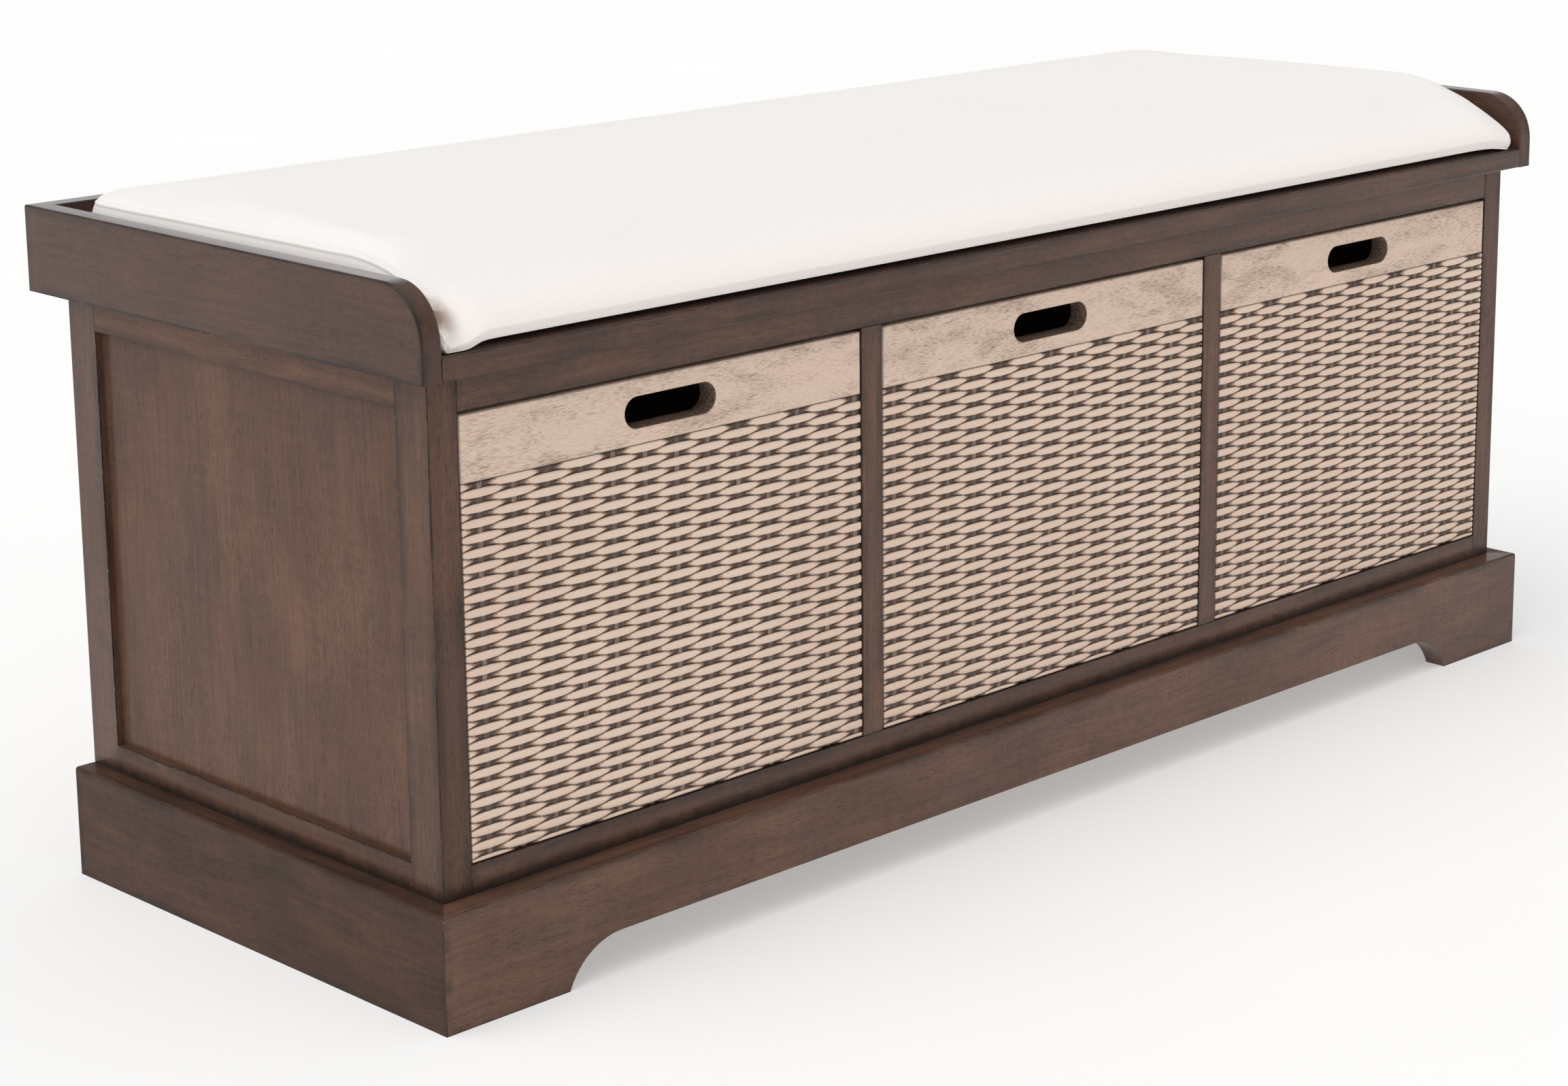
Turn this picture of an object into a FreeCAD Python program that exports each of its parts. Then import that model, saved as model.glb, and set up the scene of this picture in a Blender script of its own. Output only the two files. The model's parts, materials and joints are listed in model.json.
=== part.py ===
import FreeCAD, Part
import math
import os
from types import SimpleNamespace

import Sketcher

# Entryway bench: a low cabinet with three pull-out bins under a cushioned seat tray.
# Frame: origin on the floor at the middle of the bench, +X along its length, the bins face -Y, +Z up.
# Lengths are millimetres.

DIMENSIONS = {
    # overall
    "tray_length": 1075.0,
    "plinth_length": 1074.0,
    "bench_depth": 400.0,
    "frame_height": 384.0,
    # plinth
    "plinth_height": 73.0,
    "plinth_side_thick": 14.0,
    "plinth_front_thick": 17.0,
    "plinth_back_height": 45.0,
    "foot_width": 92.6,
    "arch_rise": 27.6,
    "arch_radius": 44.8,
    "glide_height": 3.0,
    "glide_radius": 9.0,
    # cabinet frame
    "post_face": 21.0,
    "front_post_depth": 29.5,
    "back_post_depth": 29.0,
    "back_overhang": 20.0,
    "rail_depth": 22.0,
    "top_rail_height": 23.0,
    "side_top_rail_height": 21.5,
    "floor_level": 90.8,
    "floor_thick": 12.0,
    "divider_thick": 18.4,
    "panel_thick": 9.0,
    "panel_recess": 5.0,
    "groove_depth": 6.0,
    "back_panel_thick": 6.0,
    "back_panel_inset": 11.0,
    "guide_height": 30.0,
    "block_width": 30.0,
    # seat tray
    "tray_height": 55.0,
    "tray_side_thick": 14.0,
    "tray_back_thick": 14.5,
    "tray_corner_radius": 34.0,
    "tray_setback": 1.0,
    "seat_thick": 14.5,
    # cushion
    "cushion_side_gap": 1.5,
    "cushion_back_gap": 10.5,
    "cushion_gap_below": 0.3,
    "cushion_top": 450.0,
    "cushion_nose_height": 6.5,
    "cushion_fall": 84.0,
    "cushion_corner": 12.0,
    # bins
    "bin_side_gap": 1.2,
    "bin_top_gap": 2.2,
    "bin_bottom_gap": 1.3,
    "bin_slide_gap": 0.3,
    "bin_front_thick": 15.0,
    "bin_wall_thick": 9.0,
    "bin_wall_inset": 2.0,
    "bin_wall_height": 232.0,
    "bin_depth": 338.0,
    "bin_bottom_thick": 5.0,
    "bin_bottom_lift": 7.0,
    "bin_groove": 4.0,
    "slot_length": 72.6,
    "slot_height": 19.2,
    "slot_drop": 20.6,
    # fasteners
    "screw_radius": 2.0,
    "screw_head_radius": 4.0,
    "screw_head_height": 2.5,
    "screw_bite": 10.0,
    "plinth_screw_bite": 8.0,
    "dowel_radius": 3.0,
    "dowel_in_side": 8.0,
    "dowel_in_seat": 16.0,
    "hole_clearance": 0.1,
    # softened edges
    "edge_round": 1.2,
    "corner_round": 2.0,
}

BIN_COUNT = 3
SEAT_SCREWS_PER_RAIL = 4
FRONT_PLINTH_SCREWS = 5
SIDE_PLINTH_SCREWS = 3
DOWELS_PER_SIDE = 5
TOUCHING = 0.05  # mm between two places that count as the same
SMALLEST_CUT = 1.0  # cubic mm that a pocket has to take away
# FreeCAD's numbers for the two ends of a sketch edge. An arc runs anticlockwise for
# FreeCAD, so an arc drawn clockwise begins at its last point.
FIRST_POINT = 1
LAST_POINT = 2


class Size:
    """A length together with the spreadsheet expression that drives it."""

    def __init__(self, value, text):
        self.value = value
        self.text = text

    def __add__(self, other):
        other = as_size(other)
        return Size(self.value + other.value, f"({self.text} + {other.text})")

    def __sub__(self, other):
        other = as_size(other)
        return Size(self.value - other.value, f"({self.text} - {other.text})")

    def __mul__(self, other):
        other = as_size(other)
        return Size(self.value * other.value, f"({self.text} * {other.text})")

    def __truediv__(self, other):
        other = as_size(other)
        return Size(self.value / other.value, f"({self.text} / {other.text})")

    def __neg__(self):
        return Size(-self.value, f"(0 - {self.text})")

    def root(self):
        return Size(math.sqrt(self.value), f"sqrt({self.text})")


def as_size(number):
    if isinstance(number, Size):
        return number
    return Size(float(number), repr(float(number)))


doc = FreeCAD.newDocument("EntrywayBench")
sheet = doc.addObject("Spreadsheet::Sheet", "Dimensions")
for row, (name, millimetres) in enumerate(DIMENSIONS.items(), start=1):
    sheet.set(f"A{row}", name)
    sheet.set(f"B{row}", str(millimetres))
    sheet.setAlias(f"B{row}", name)
doc.recompute()
S = SimpleNamespace(
    **{name: Size(value, f"Dimensions.{name}") for name, value in DIMENSIONS.items()}
)

nodes = []


# ---------------------------------------------------------------- building helpers


def bind(thing, prop, size):
    thing.setExpression(prop, as_size(size).text)


def place(thing, low):
    """Puts an object's local origin at the point low."""
    for axis, size in zip("xyz", low):
        bind(thing, f"Placement.Base.{axis}", size)


def keep(thing, label):
    """Marks an object as a finished sub-part with its own name."""
    thing.Label = label
    nodes.append(thing)
    return thing


def block(label, low, sizes):
    """A plain rectangular board from its low corner and its three sizes."""
    box = doc.addObject("Part::Box", label)
    for prop, size in zip(("Length", "Width", "Height"), sizes):
        bind(box, prop, size)
    place(box, low)
    return box


def new_body(label, low):
    body = doc.addObject("PartDesign::Body", label)
    place(body, low)
    return body


def sketch_on(body, role, label):
    sketch = body.newObject("Sketcher::SketchObject", label)
    origin_plane = next(f for f in body.Origin.OriginFeatures if f.Role == role)
    sketch.AttachmentSupport = [(origin_plane, "")]
    sketch.MapMode = "FlatFace"
    return sketch


def fix_coordinate(sketch, edge, kind, size, point=FIRST_POINT):
    """Holds the first or last point of an edge at a distance from the sketch's own axis."""
    if as_size(size).value == 0.0:
        axis = -2 if kind == "DistanceX" else -1
        sketch.addConstraint(Sketcher.Constraint("PointOnObject", edge, point, axis))
        return
    value = as_size(size).value
    number = sketch.addConstraint(
        Sketcher.Constraint(kind, -1, FIRST_POINT, edge, point, value)
    )
    bind(sketch, f"Constraints[{number}]", size)


def arc_between(start, end, radius):
    """The short arc from start to end, its centre on the right-hand side of that way."""
    chord = end - start
    middle = (start + end) / 2
    reach = math.sqrt(radius**2 - (chord.Length / 2) ** 2)
    right = FreeCAD.Vector(chord.y, -chord.x, 0) / chord.Length
    centre = middle + right * reach
    from_angle = math.atan2(start.y - centre.y, start.x - centre.x)
    to_angle = math.atan2(end.y - centre.y, end.x - centre.x)
    circle = Part.Circle(centre, FreeCAD.Vector(0, 0, 1), radius)
    return Part.ArcOfCircle(circle, to_angle, from_angle)


def outline(sketch, corners, arcs=None):
    """A closed outline through corners; arcs maps an edge's number to its radius.

    An arc runs clockwise, so its centre lies on the right of the way it is drawn.
    """
    arcs = arcs or {}
    points = [FreeCAD.Vector(as_size(x).value, as_size(y).value, 0) for x, y in corners]
    count = len(points)
    for edge in range(count):
        start = points[edge]
        end = points[(edge + 1) % count]
        if edge in arcs:
            sketch.addGeometry(arc_between(start, end, arcs[edge].value))
        else:
            sketch.addGeometry(Part.LineSegment(start, end))
    for edge in range(count):
        following = (edge + 1) % count
        end_point = FIRST_POINT if edge in arcs else LAST_POINT
        start_point = LAST_POINT if following in arcs else FIRST_POINT
        sketch.addConstraint(
            Sketcher.Constraint("Coincident", edge, end_point, following, start_point)
        )
    for edge, (x, y) in enumerate(corners):
        if edge in arcs:
            continue
        fix_coordinate(sketch, edge, "DistanceX", x)
        fix_coordinate(sketch, edge, "DistanceY", y)
    for edge, radius in arcs.items():
        number = sketch.addConstraint(Sketcher.Constraint("Radius", edge, radius.value))
        bind(sketch, f"Constraints[{number}]", radius)
        x, y = corners[edge]
        fix_coordinate(sketch, edge, "DistanceX", x, LAST_POINT)
        fix_coordinate(sketch, edge, "DistanceY", y, LAST_POINT)


def pad(body, sketch, length, reverse=False):
    feature = body.newObject("PartDesign::Pad", f"{body.Name}_pad")
    feature.Profile = sketch
    feature.Reversed = reverse
    bind(feature, "Length", length)
    return feature


def pocket(body, sketch, length, reverse=False):
    """Cuts a sketch into the body and makes sure that it took material away."""
    before = body.Shape.Volume
    feature = body.newObject("PartDesign::Pocket", f"{body.Name}_pocket")
    feature.Profile = sketch
    feature.Reversed = reverse
    bind(feature, "Length", length)
    doc.recompute()
    if not body.Shape.Volume < before - SMALLEST_CUT:
        raise RuntimeError(f"the pocket in {body.Label} cuts nothing")
    return feature


def slab(label, role, low, corners, length, arcs=None, reverse=False):
    """A board of constant section: one outline on an origin plane, padded."""
    body = new_body(label, low)
    sketch = sketch_on(body, role, f"{label}_outline")
    outline(sketch, corners, arcs)
    pad(body, sketch, length, reverse)
    doc.recompute()
    return body


def rectangle(x0, y0, x1, y1):
    return [(x0, y0), (x1, y0), (x1, y1), (x0, y1)]


def round_edges(body, radius, wanted):
    """Rounds the edges for which wanted(middle point, direction) is true."""
    base = body.Tip
    names = []
    for number, edge in enumerate(base.Shape.Edges, start=1):
        first, last = edge.ParameterRange
        middle = edge.valueAt((first + last) / 2)
        along = edge.tangentAt((first + last) / 2)
        if wanted(middle, along):
            names.append(f"Edge{number}")
    if not names:
        raise RuntimeError(f"no edge to round on {body.Label}")
    feature = body.newObject("PartDesign::Fillet", f"{body.Name}_round")
    feature.Base = (base, names)
    bind(feature, "Radius", radius)
    doc.recompute()
    return feature


def near(value, target):
    return abs(value - target) < TOUCHING


def cylinder(label, start, direction, radius, length):
    """A round bar from the point start along one of the six axis directions."""
    bar = doc.addObject("Part::Cylinder", label)
    bind(bar, "Radius", radius)
    bind(bar, "Height", length)
    turn = FreeCAD.Rotation(FreeCAD.Vector(0, 0, 1), FreeCAD.Vector(*direction))
    bar.Placement = FreeCAD.Placement(FreeCAD.Vector(0, 0, 0), turn)
    place(bar, start)
    return bar


def screw(label, start, direction, length, clearance):
    """A screw whose head starts at the point start; clearance makes it the hole."""
    head = cylinder(
        f"{label}_head",
        start,
        direction,
        S.screw_head_radius + clearance,
        S.screw_head_height + clearance,
    )
    shank = cylinder(
        f"{label}_shank", start, direction, S.screw_radius + clearance, length + clearance
    )
    whole = doc.addObject("Part::MultiFuse", label)
    whole.Shapes = [head, shank]
    return whole


def group(label, members):
    together = doc.addObject("Part::Compound", label)
    together.Links = members
    return together


def drilled(blank, holes, label):
    """The board with its holes cut, which takes the board's name."""
    blank.Label = f"{label}_blank"
    drilling = group(f"{label}_holes", holes)
    result = doc.addObject("Part::Cut", f"{label}_drilled")
    result.Base = blank
    result.Tool = drilling
    return keep(result, label)


def spread(low, high, count):
    """Evenly spaced places from low to high."""
    return [low + (high - low) * (i / (count - 1)) for i in range(count)]


# ---------------------------------------------------------------- shared places

ZERO = as_size(0)
front_face = -S.bench_depth / 2
rear_face = S.bench_depth / 2
plinth_half = S.plinth_length / 2
tray_half = S.tray_length / 2
body_half = plinth_half - S.plinth_side_thick
body_front = front_face + S.plinth_front_thick
body_back = rear_face - S.back_overhang
bay_half = body_half - S.post_face
post_rear = body_front + S.front_post_depth
back_post_front = body_back - S.back_post_depth
rail_rear = body_front + S.rail_depth
back_rail_front = body_back - S.rail_depth
top_rail_low = S.frame_height - S.top_rail_height
side_top_rail_low = S.frame_height - S.side_top_rail_height
floor_low = S.floor_level - S.floor_thick
back_panel_front = back_rail_front + S.back_panel_inset
bay_width = (bay_half * 2 - S.divider_thick * (BIN_COUNT - 1)) / BIN_COUNT
bay_height = top_rail_low - S.floor_level
seat_half = tray_half - S.tray_side_thick
tray_front = front_face + S.tray_setback
tray_back_front = rear_face - S.tray_back_thick
seat_top = S.frame_height + S.seat_thick
rail_under = S.plinth_back_height
SIDES = (("left", -1), ("right", 1))


def mirrored(side, low, width):
    """The low X of a piece that starts low from the middle plane on the right-hand side."""
    return low if side > 0 else -(low + width)


# ---------------------------------------------------------------- fasteners

seat_screws = []
seat_rail_holes = {"front": [], "back": []}
for rail, rail_middle in (
    ("front", body_front + S.rail_depth / 2),
    ("back", back_rail_front + S.back_panel_inset / 2),
):
    reach = bay_half - S.rail_depth * 2
    for i, x in enumerate(spread(-reach, reach, SEAT_SCREWS_PER_RAIL)):
        start = (x, rail_middle, top_rail_low)
        length = S.top_rail_height + S.screw_bite
        name = f"seat_screw_{rail}_{i}"
        seat_screws.append(screw(name, start, (0, 0, 1), length, ZERO))
        hole = screw(f"{name}_hole", start, (0, 0, 1), length, S.hole_clearance)
        seat_rail_holes[rail].append(hole)
keep(group("seat_screws", seat_screws), "seat_screws")

plinth_screws = []
plinth_holes = {"front": [], "left": [], "right": []}
plinth_screw_level = (S.plinth_back_height + S.plinth_height) / 2
front_reach = bay_half - S.block_width * 2
for i, x in enumerate(spread(-front_reach, front_reach, FRONT_PLINTH_SCREWS)):
    start = (x, rail_rear, plinth_screw_level)
    length = S.rail_depth + S.plinth_screw_bite
    name = f"plinth_screw_front_{i}"
    plinth_screws.append(screw(name, start, (0, -1, 0), length, ZERO))
    hole = screw(f"{name}_hole", start, (0, -1, 0), length, S.hole_clearance)
    plinth_holes["front"].append(hole)
for side_name, side in SIDES:
    side_low = post_rear + S.block_width * 2
    side_high = back_post_front - S.block_width * 2
    for i, y in enumerate(spread(side_low, side_high, SIDE_PLINTH_SCREWS)):
        start = (bay_half * side, y, plinth_screw_level)
        length = S.post_face + S.plinth_screw_bite
        name = f"plinth_screw_{side_name}_{i}"
        plinth_screws.append(screw(name, start, (side, 0, 0), length, ZERO))
        hole = screw(f"{name}_hole", start, (side, 0, 0), length, S.hole_clearance)
        plinth_holes[side_name].append(hole)
keep(group("plinth_screws", plinth_screws), "plinth_screws")

tray_dowels = []
dowel_holes = {"left": [], "right": []}
dowel_level = S.frame_height + S.seat_thick / 2
dowel_length = S.dowel_in_side + S.dowel_in_seat
for side_name, side in SIDES:
    dowel_front = tray_front + S.tray_corner_radius
    dowel_rear = tray_back_front - S.tray_corner_radius
    for i, y in enumerate(spread(dowel_front, dowel_rear, DOWELS_PER_SIDE)):
        start = ((seat_half - S.dowel_in_seat) * side, y, dowel_level)
        name = f"tray_dowel_{side_name}_{i}"
        dowel = cylinder(name, start, (side, 0, 0), S.dowel_radius, dowel_length)
        tray_dowels.append(dowel)
        hole_start = (
            (seat_half - S.dowel_in_seat - S.hole_clearance) * side,
            y,
            dowel_level,
        )
        hole = cylinder(
            f"{name}_hole",
            hole_start,
            (side, 0, 0),
            S.dowel_radius + S.hole_clearance,
            dowel_length + S.hole_clearance * 2,
        )
        dowel_holes[side_name].append(hole)
keep(group("tray_dowels", tray_dowels), "tray_dowels")


# ---------------------------------------------------------------- plinth


def make_plinth_front():
    """The front board, mitred at both ends, with a bracket-foot arch cut out below."""
    setback_x = S.plinth_side_thick
    corners = [
        (ZERO, ZERO),
        (S.plinth_length, ZERO),
        (S.plinth_length - setback_x, S.plinth_front_thick),
        (setback_x, S.plinth_front_thick),
    ]
    low = (-plinth_half, front_face, ZERO)
    board = slab("plinth_front", "XY_Plane", low, corners, S.plinth_height)
    drop = S.arch_radius - S.arch_rise
    run = (S.arch_radius * S.arch_radius - drop * drop).root()
    arch = sketch_on(board, "XZ_Plane", "plinth_arch")
    arch_corners = [
        (S.foot_width, ZERO),
        (S.foot_width + run, S.arch_rise),
        (S.plinth_length - S.foot_width - run, S.arch_rise),
        (S.plinth_length - S.foot_width, ZERO),
    ]
    outline(arch, arch_corners, arcs={0: S.arch_radius, 2: S.arch_radius})
    pocket(board, arch, S.plinth_front_thick)

    def top_front_edge(middle, along):
        return near(middle.y, 0) and near(middle.z, DIMENSIONS["plinth_height"])

    round_edges(board, S.corner_round, top_front_edge)
    drilled(board, plinth_holes["front"], "plinth_front_board")


def make_plinth_side(side_name, side):
    """A side board: mitred to the front board, square at the back."""
    length = body_back - front_face
    thick = S.plinth_side_thick
    if side < 0:
        low = (-plinth_half, front_face, ZERO)
        corners = [
            (ZERO, ZERO),
            (thick, S.plinth_front_thick),
            (thick, length),
            (ZERO, length),
        ]
        outer_x = 0.0
    else:
        low = (body_half, front_face, ZERO)
        corners = [
            (thick, ZERO),
            (thick, length),
            (ZERO, length),
            (ZERO, S.plinth_front_thick),
        ]
        outer_x = DIMENSIONS["plinth_side_thick"]
    name = f"plinth_{side_name}"
    board = slab(name, "XY_Plane", low, corners, S.plinth_height)

    def top_outer_edge(middle, along):
        return near(middle.x, outer_x) and near(middle.z, DIMENSIONS["plinth_height"])

    round_edges(board, S.corner_round, top_outer_edge)
    drilled(board, plinth_holes[side_name], f"plinth_{side_name}_board")


def make_plinth_inside():
    """The back board, the corner blocks and the glides, which the plinth hides."""
    back_low = (-bay_half, body_back - S.plinth_front_thick, ZERO)
    back_sizes = (bay_half * 2, S.plinth_front_thick, S.plinth_back_height)
    keep(block("plinth_back_board", back_low, back_sizes), "plinth_back_board")
    blocks = []
    glides = []
    post_middle_x = bay_half + S.post_face / 2
    for side_name, side in SIDES:
        block_x = mirrored(side, bay_half - S.block_width, S.block_width)
        ends = (
            ("front", rail_rear, body_front + S.front_post_depth / 2),
            ("back", back_rail_front - S.block_width, body_back - S.back_post_depth / 2),
        )
        for end_name, block_y, glide_y in ends:
            blocks.append(
                block(
                    f"corner_block_{end_name}_{side_name}",
                    (block_x, block_y, rail_under),
                    (S.block_width, S.block_width, floor_low - rail_under),
                )
            )
            glides.append(
                cylinder(
                    f"glide_{end_name}_{side_name}",
                    (post_middle_x * side, glide_y, ZERO),
                    (0, 0, 1),
                    S.glide_radius,
                    S.glide_height,
                )
            )
    keep(group("corner_blocks", blocks), "corner_blocks")
    keep(group("floor_glides", glides), "floor_glides")


# ---------------------------------------------------------------- cabinet frame


def make_post(side_name, side, end_name):
    """A corner post: grooved for the side panel, and at the back for the back panel."""
    front = end_name == "front"
    depth = S.front_post_depth if front else S.back_post_depth
    low_y = body_front if front else back_post_front
    height = S.frame_height - S.glide_height
    low = (mirrored(side, bay_half, S.post_face), low_y, S.glide_height)
    name = f"{end_name}_post_{side_name}"
    corners = rectangle(ZERO, ZERO, S.post_face, depth)
    post = slab(name, "XY_Plane", low, corners, height)

    inner_recess = S.post_face - S.panel_recess - S.panel_thick
    groove_x = S.panel_recess if side < 0 else inner_recess
    groove_y = depth - S.groove_depth if front else ZERO
    groove = sketch_on(post, "XY_Plane", f"{name}_side_groove")
    outline(
        groove,
        rectangle(groove_x, groove_y, groove_x + S.panel_thick, groove_y + S.groove_depth),
    )
    pocket(post, groove, height, reverse=True)
    if not front:
        back_x = S.post_face - S.groove_depth if side < 0 else ZERO
        back_y = back_panel_front - back_post_front
        back_groove = sketch_on(post, "XY_Plane", f"{name}_back_groove")
        outline(
            back_groove,
            rectangle(
                back_x,
                back_y,
                back_x + S.groove_depth,
                back_y + S.back_panel_thick,
            ),
        )
        pocket(post, back_groove, height, reverse=True)

    outer_x = 0.0 if side < 0 else DIMENSIONS["post_face"]
    outer_y = 0.0 if front else DIMENSIONS["back_post_depth"]

    def outer_corner(middle, along):
        return near(middle.x, outer_x) and near(middle.y, outer_y) and near(along.x, 0)

    round_edges(post, S.edge_round, outer_corner)
    keep(post, name)


def make_side_rails_and_panel(side_name, side):
    """The frame-and-panel end between two posts, and the strip that guides the bin."""
    length = back_post_front - post_rear
    low_x = mirrored(side, bay_half, S.post_face)
    inner_recess = S.post_face - S.panel_recess - S.panel_thick
    groove_x = S.panel_recess if side < 0 else inner_recess
    tongue = S.groove_depth

    def rail(name, low_z, height, groove_at_top):
        blank = block(f"{name}_bar", (low_x, post_rear, low_z), (S.post_face, length, height))
        tenon_low = (low_x + groove_x, post_rear - tongue, low_z)
        tenon = block(f"{name}_tenon", tenon_low, (S.panel_thick, length + tongue * 2, height))
        solid = doc.addObject("Part::Fuse", f"{name}_solid")
        solid.Base = blank
        solid.Tool = tenon
        groove_low_z = low_z + height - tongue if groove_at_top else low_z
        groove_low = (low_x + groove_x, post_rear - tongue, groove_low_z)
        groove = block(f"{name}_groove", groove_low, (S.panel_thick, length + tongue * 2, tongue))
        grooved = doc.addObject("Part::Cut", f"{name}_grooved")
        grooved.Base = solid
        grooved.Tool = groove
        return grooved

    top = rail(f"side_top_rail_{side_name}", side_top_rail_low, S.side_top_rail_height, False)
    keep(top, f"side_top_rail_{side_name}")
    bottom_height = S.floor_level - rail_under
    bottom = rail(f"side_bottom_rail_{side_name}", rail_under, bottom_height, True)
    drilled(bottom, plinth_holes[side_name], f"side_bottom_rail_{side_name}")

    panel_low = (low_x + groove_x, post_rear - tongue, S.floor_level - tongue)
    panel_sizes = (
        S.panel_thick,
        length + tongue * 2,
        side_top_rail_low - S.floor_level + tongue * 2,
    )
    panel = block(f"side_panel_{side_name}", panel_low, panel_sizes)
    keep(panel, f"side_panel_{side_name}")

    guide_thick = S.post_face - S.panel_recess - S.panel_thick
    guide_low = (mirrored(side, bay_half, guide_thick), post_rear, S.floor_level)
    guide = block(f"bin_guide_{side_name}", guide_low, (guide_thick, length, S.guide_height))
    keep(guide, f"bin_guide_{side_name}")


def make_front_rails():
    top_low = (-bay_half, body_front, top_rail_low)
    top = block("front_top_rail_bar", top_low, (bay_half * 2, S.rail_depth, S.top_rail_height))
    drilled(top, seat_rail_holes["front"], "front_top_rail")
    bottom_low = (-bay_half, body_front, rail_under)
    bottom_sizes = (bay_half * 2, S.rail_depth, S.floor_level - rail_under)
    bottom = block("front_bottom_rail_bar", bottom_low, bottom_sizes)
    drilled(bottom, plinth_holes["front"], "front_bottom_rail")


def make_back():
    """Two back rails with the thin back panel held in grooves."""
    length = bay_half * 2

    def grooved_rail(name, low_z, height, groove_z):
        bar = block(f"{name}_bar", (-bay_half, back_rail_front, low_z), (length, S.rail_depth, height))
        groove_low = (-bay_half, back_panel_front, groove_z)
        groove = block(f"{name}_groove", groove_low, (length, S.back_panel_thick, S.groove_depth))
        cut = doc.addObject("Part::Cut", f"{name}_grooved")
        cut.Base = bar
        cut.Tool = groove
        return cut

    top = grooved_rail("back_top_rail", top_rail_low, S.top_rail_height, top_rail_low)
    drilled(top, seat_rail_holes["back"], "back_top_rail")
    bottom = grooved_rail(
        "back_bottom_rail",
        rail_under,
        S.floor_level - rail_under,
        S.floor_level - S.groove_depth,
    )
    keep(bottom, "back_bottom_rail")
    panel_low = (-bay_half - S.groove_depth, back_panel_front, S.floor_level - S.groove_depth)
    panel_sizes = (
        length + S.groove_depth * 2,
        S.back_panel_thick,
        bay_height + S.groove_depth * 2,
    )
    keep(block("back_panel", panel_low, panel_sizes), "back_panel")


def make_floor_and_dividers():
    floor_low_corner = (-bay_half, rail_rear, floor_low)
    floor_sizes = (bay_half * 2, back_rail_front - rail_rear, S.floor_thick)
    keep(block("floor_panel", floor_low_corner, floor_sizes), "floor_panel")
    depth = back_panel_front - body_front
    full = S.frame_height - S.floor_level
    front_notch = S.rail_depth
    back_notch = back_rail_front - body_front
    # The outline is drawn on the YZ plane: along it the first number is Y, the second Z.
    corners = [
        (ZERO, ZERO),
        (depth, ZERO),
        (depth, bay_height),
        (back_notch, bay_height),
        (back_notch, full),
        (front_notch, full),
        (front_notch, bay_height),
        (ZERO, bay_height),
    ]
    for side_name, side in SIDES:
        low_x = mirrored(side, bay_width / 2, S.divider_thick)
        low = (low_x, body_front, S.floor_level)
        divider = slab(f"divider_{side_name}", "YZ_Plane", low, corners, S.divider_thick)
        keep(divider, f"divider_{side_name}")


# ---------------------------------------------------------------- seat tray


def make_seat_board():
    low = (-seat_half, tray_front, S.frame_height)
    depth = tray_back_front - tray_front
    corners = rectangle(ZERO, ZERO, seat_half * 2, depth)
    board = slab("seat_board_plank", "XY_Plane", low, corners, S.seat_thick)

    def front_edges(middle, along):
        return near(middle.y, 0) and near(abs(along.x), 1)

    round_edges(board, S.edge_round, front_edges)
    holes = seat_rail_holes["front"] + seat_rail_holes["back"]
    holes = holes + dowel_holes["left"] + dowel_holes["right"]
    drilled(board, holes, "seat_board")


def make_tray_side(side_name, side):
    """A side board that hangs outside the seat: round at the top front, mitred behind."""
    length = rear_face - tray_front
    thick = S.tray_side_thick
    inner_length = length - S.tray_back_thick
    if side < 0:
        low = (-tray_half, tray_front, S.frame_height)
        corners = [(ZERO, ZERO), (thick, ZERO), (thick, inner_length), (ZERO, length)]
    else:
        low = (seat_half, tray_front, S.frame_height)
        corners = [(ZERO, ZERO), (thick, ZERO), (thick, length), (ZERO, inner_length)]
    board = slab(f"tray_{side_name}", "XY_Plane", low, corners, S.tray_height)
    top = DIMENSIONS["tray_height"]

    def top_front_corner(middle, along):
        return near(middle.y, 0) and near(middle.z, top)

    round_edges(board, S.tray_corner_radius, top_front_corner)
    outer_x = 0.0 if side < 0 else DIMENSIONS["tray_side_thick"]
    straight_from = DIMENSIONS["tray_corner_radius"]

    def outline_edges(middle, along):
        on_face = near(middle.x, outer_x) or near(middle.x, DIMENSIONS["tray_side_thick"] - outer_x)
        upper = near(middle.z, top) and middle.y > straight_from
        curved = middle.y < straight_from and middle.z > 1.0 and near(along.x, 0)
        return on_face and (upper or curved)

    round_edges(board, S.edge_round, outline_edges)
    drilled(board, dowel_holes[side_name], f"tray_side_{side_name}")


def make_tray_back():
    thick = S.tray_back_thick
    side_thick = S.tray_side_thick
    corners = [
        (side_thick, ZERO),
        (S.tray_length - side_thick, ZERO),
        (S.tray_length, thick),
        (ZERO, thick),
    ]
    low = (-tray_half, tray_back_front, S.frame_height)
    board = slab("tray_back_board", "XY_Plane", low, corners, S.tray_height)

    def top_edges(middle, along):
        return near(middle.z, DIMENSIONS["tray_height"]) and near(abs(along.x), 1)

    round_edges(board, S.edge_round, top_edges)
    keep(board, "tray_back_board")


def make_cushion():
    """A loose pad: flat on top, with a front edge that falls in one round sweep."""
    depth = tray_back_front - S.cushion_back_gap - tray_front
    base = seat_top + S.cushion_gap_below
    height = S.cushion_top - base
    fall_height = height - S.cushion_nose_height
    radius = (S.cushion_fall * S.cushion_fall + fall_height * fall_height) / (fall_height * 2)
    corners = [
        (ZERO, ZERO),
        (ZERO, S.cushion_nose_height),
        (S.cushion_fall, height),
        (depth, height),
        (depth, ZERO),
    ]
    low = (-seat_half + S.cushion_side_gap, tray_front, base)
    length = (seat_half - S.cushion_side_gap) * 2
    pad_body = slab("cushion", "YZ_Plane", low, corners, length, arcs={1: radius})

    def back_corners(middle, along):
        return near(middle.y, depth.value) and near(abs(along.z), 1)

    round_edges(pad_body, S.cushion_corner, back_corners)
    keep(pad_body, "cushion")


# ---------------------------------------------------------------- bins


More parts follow.
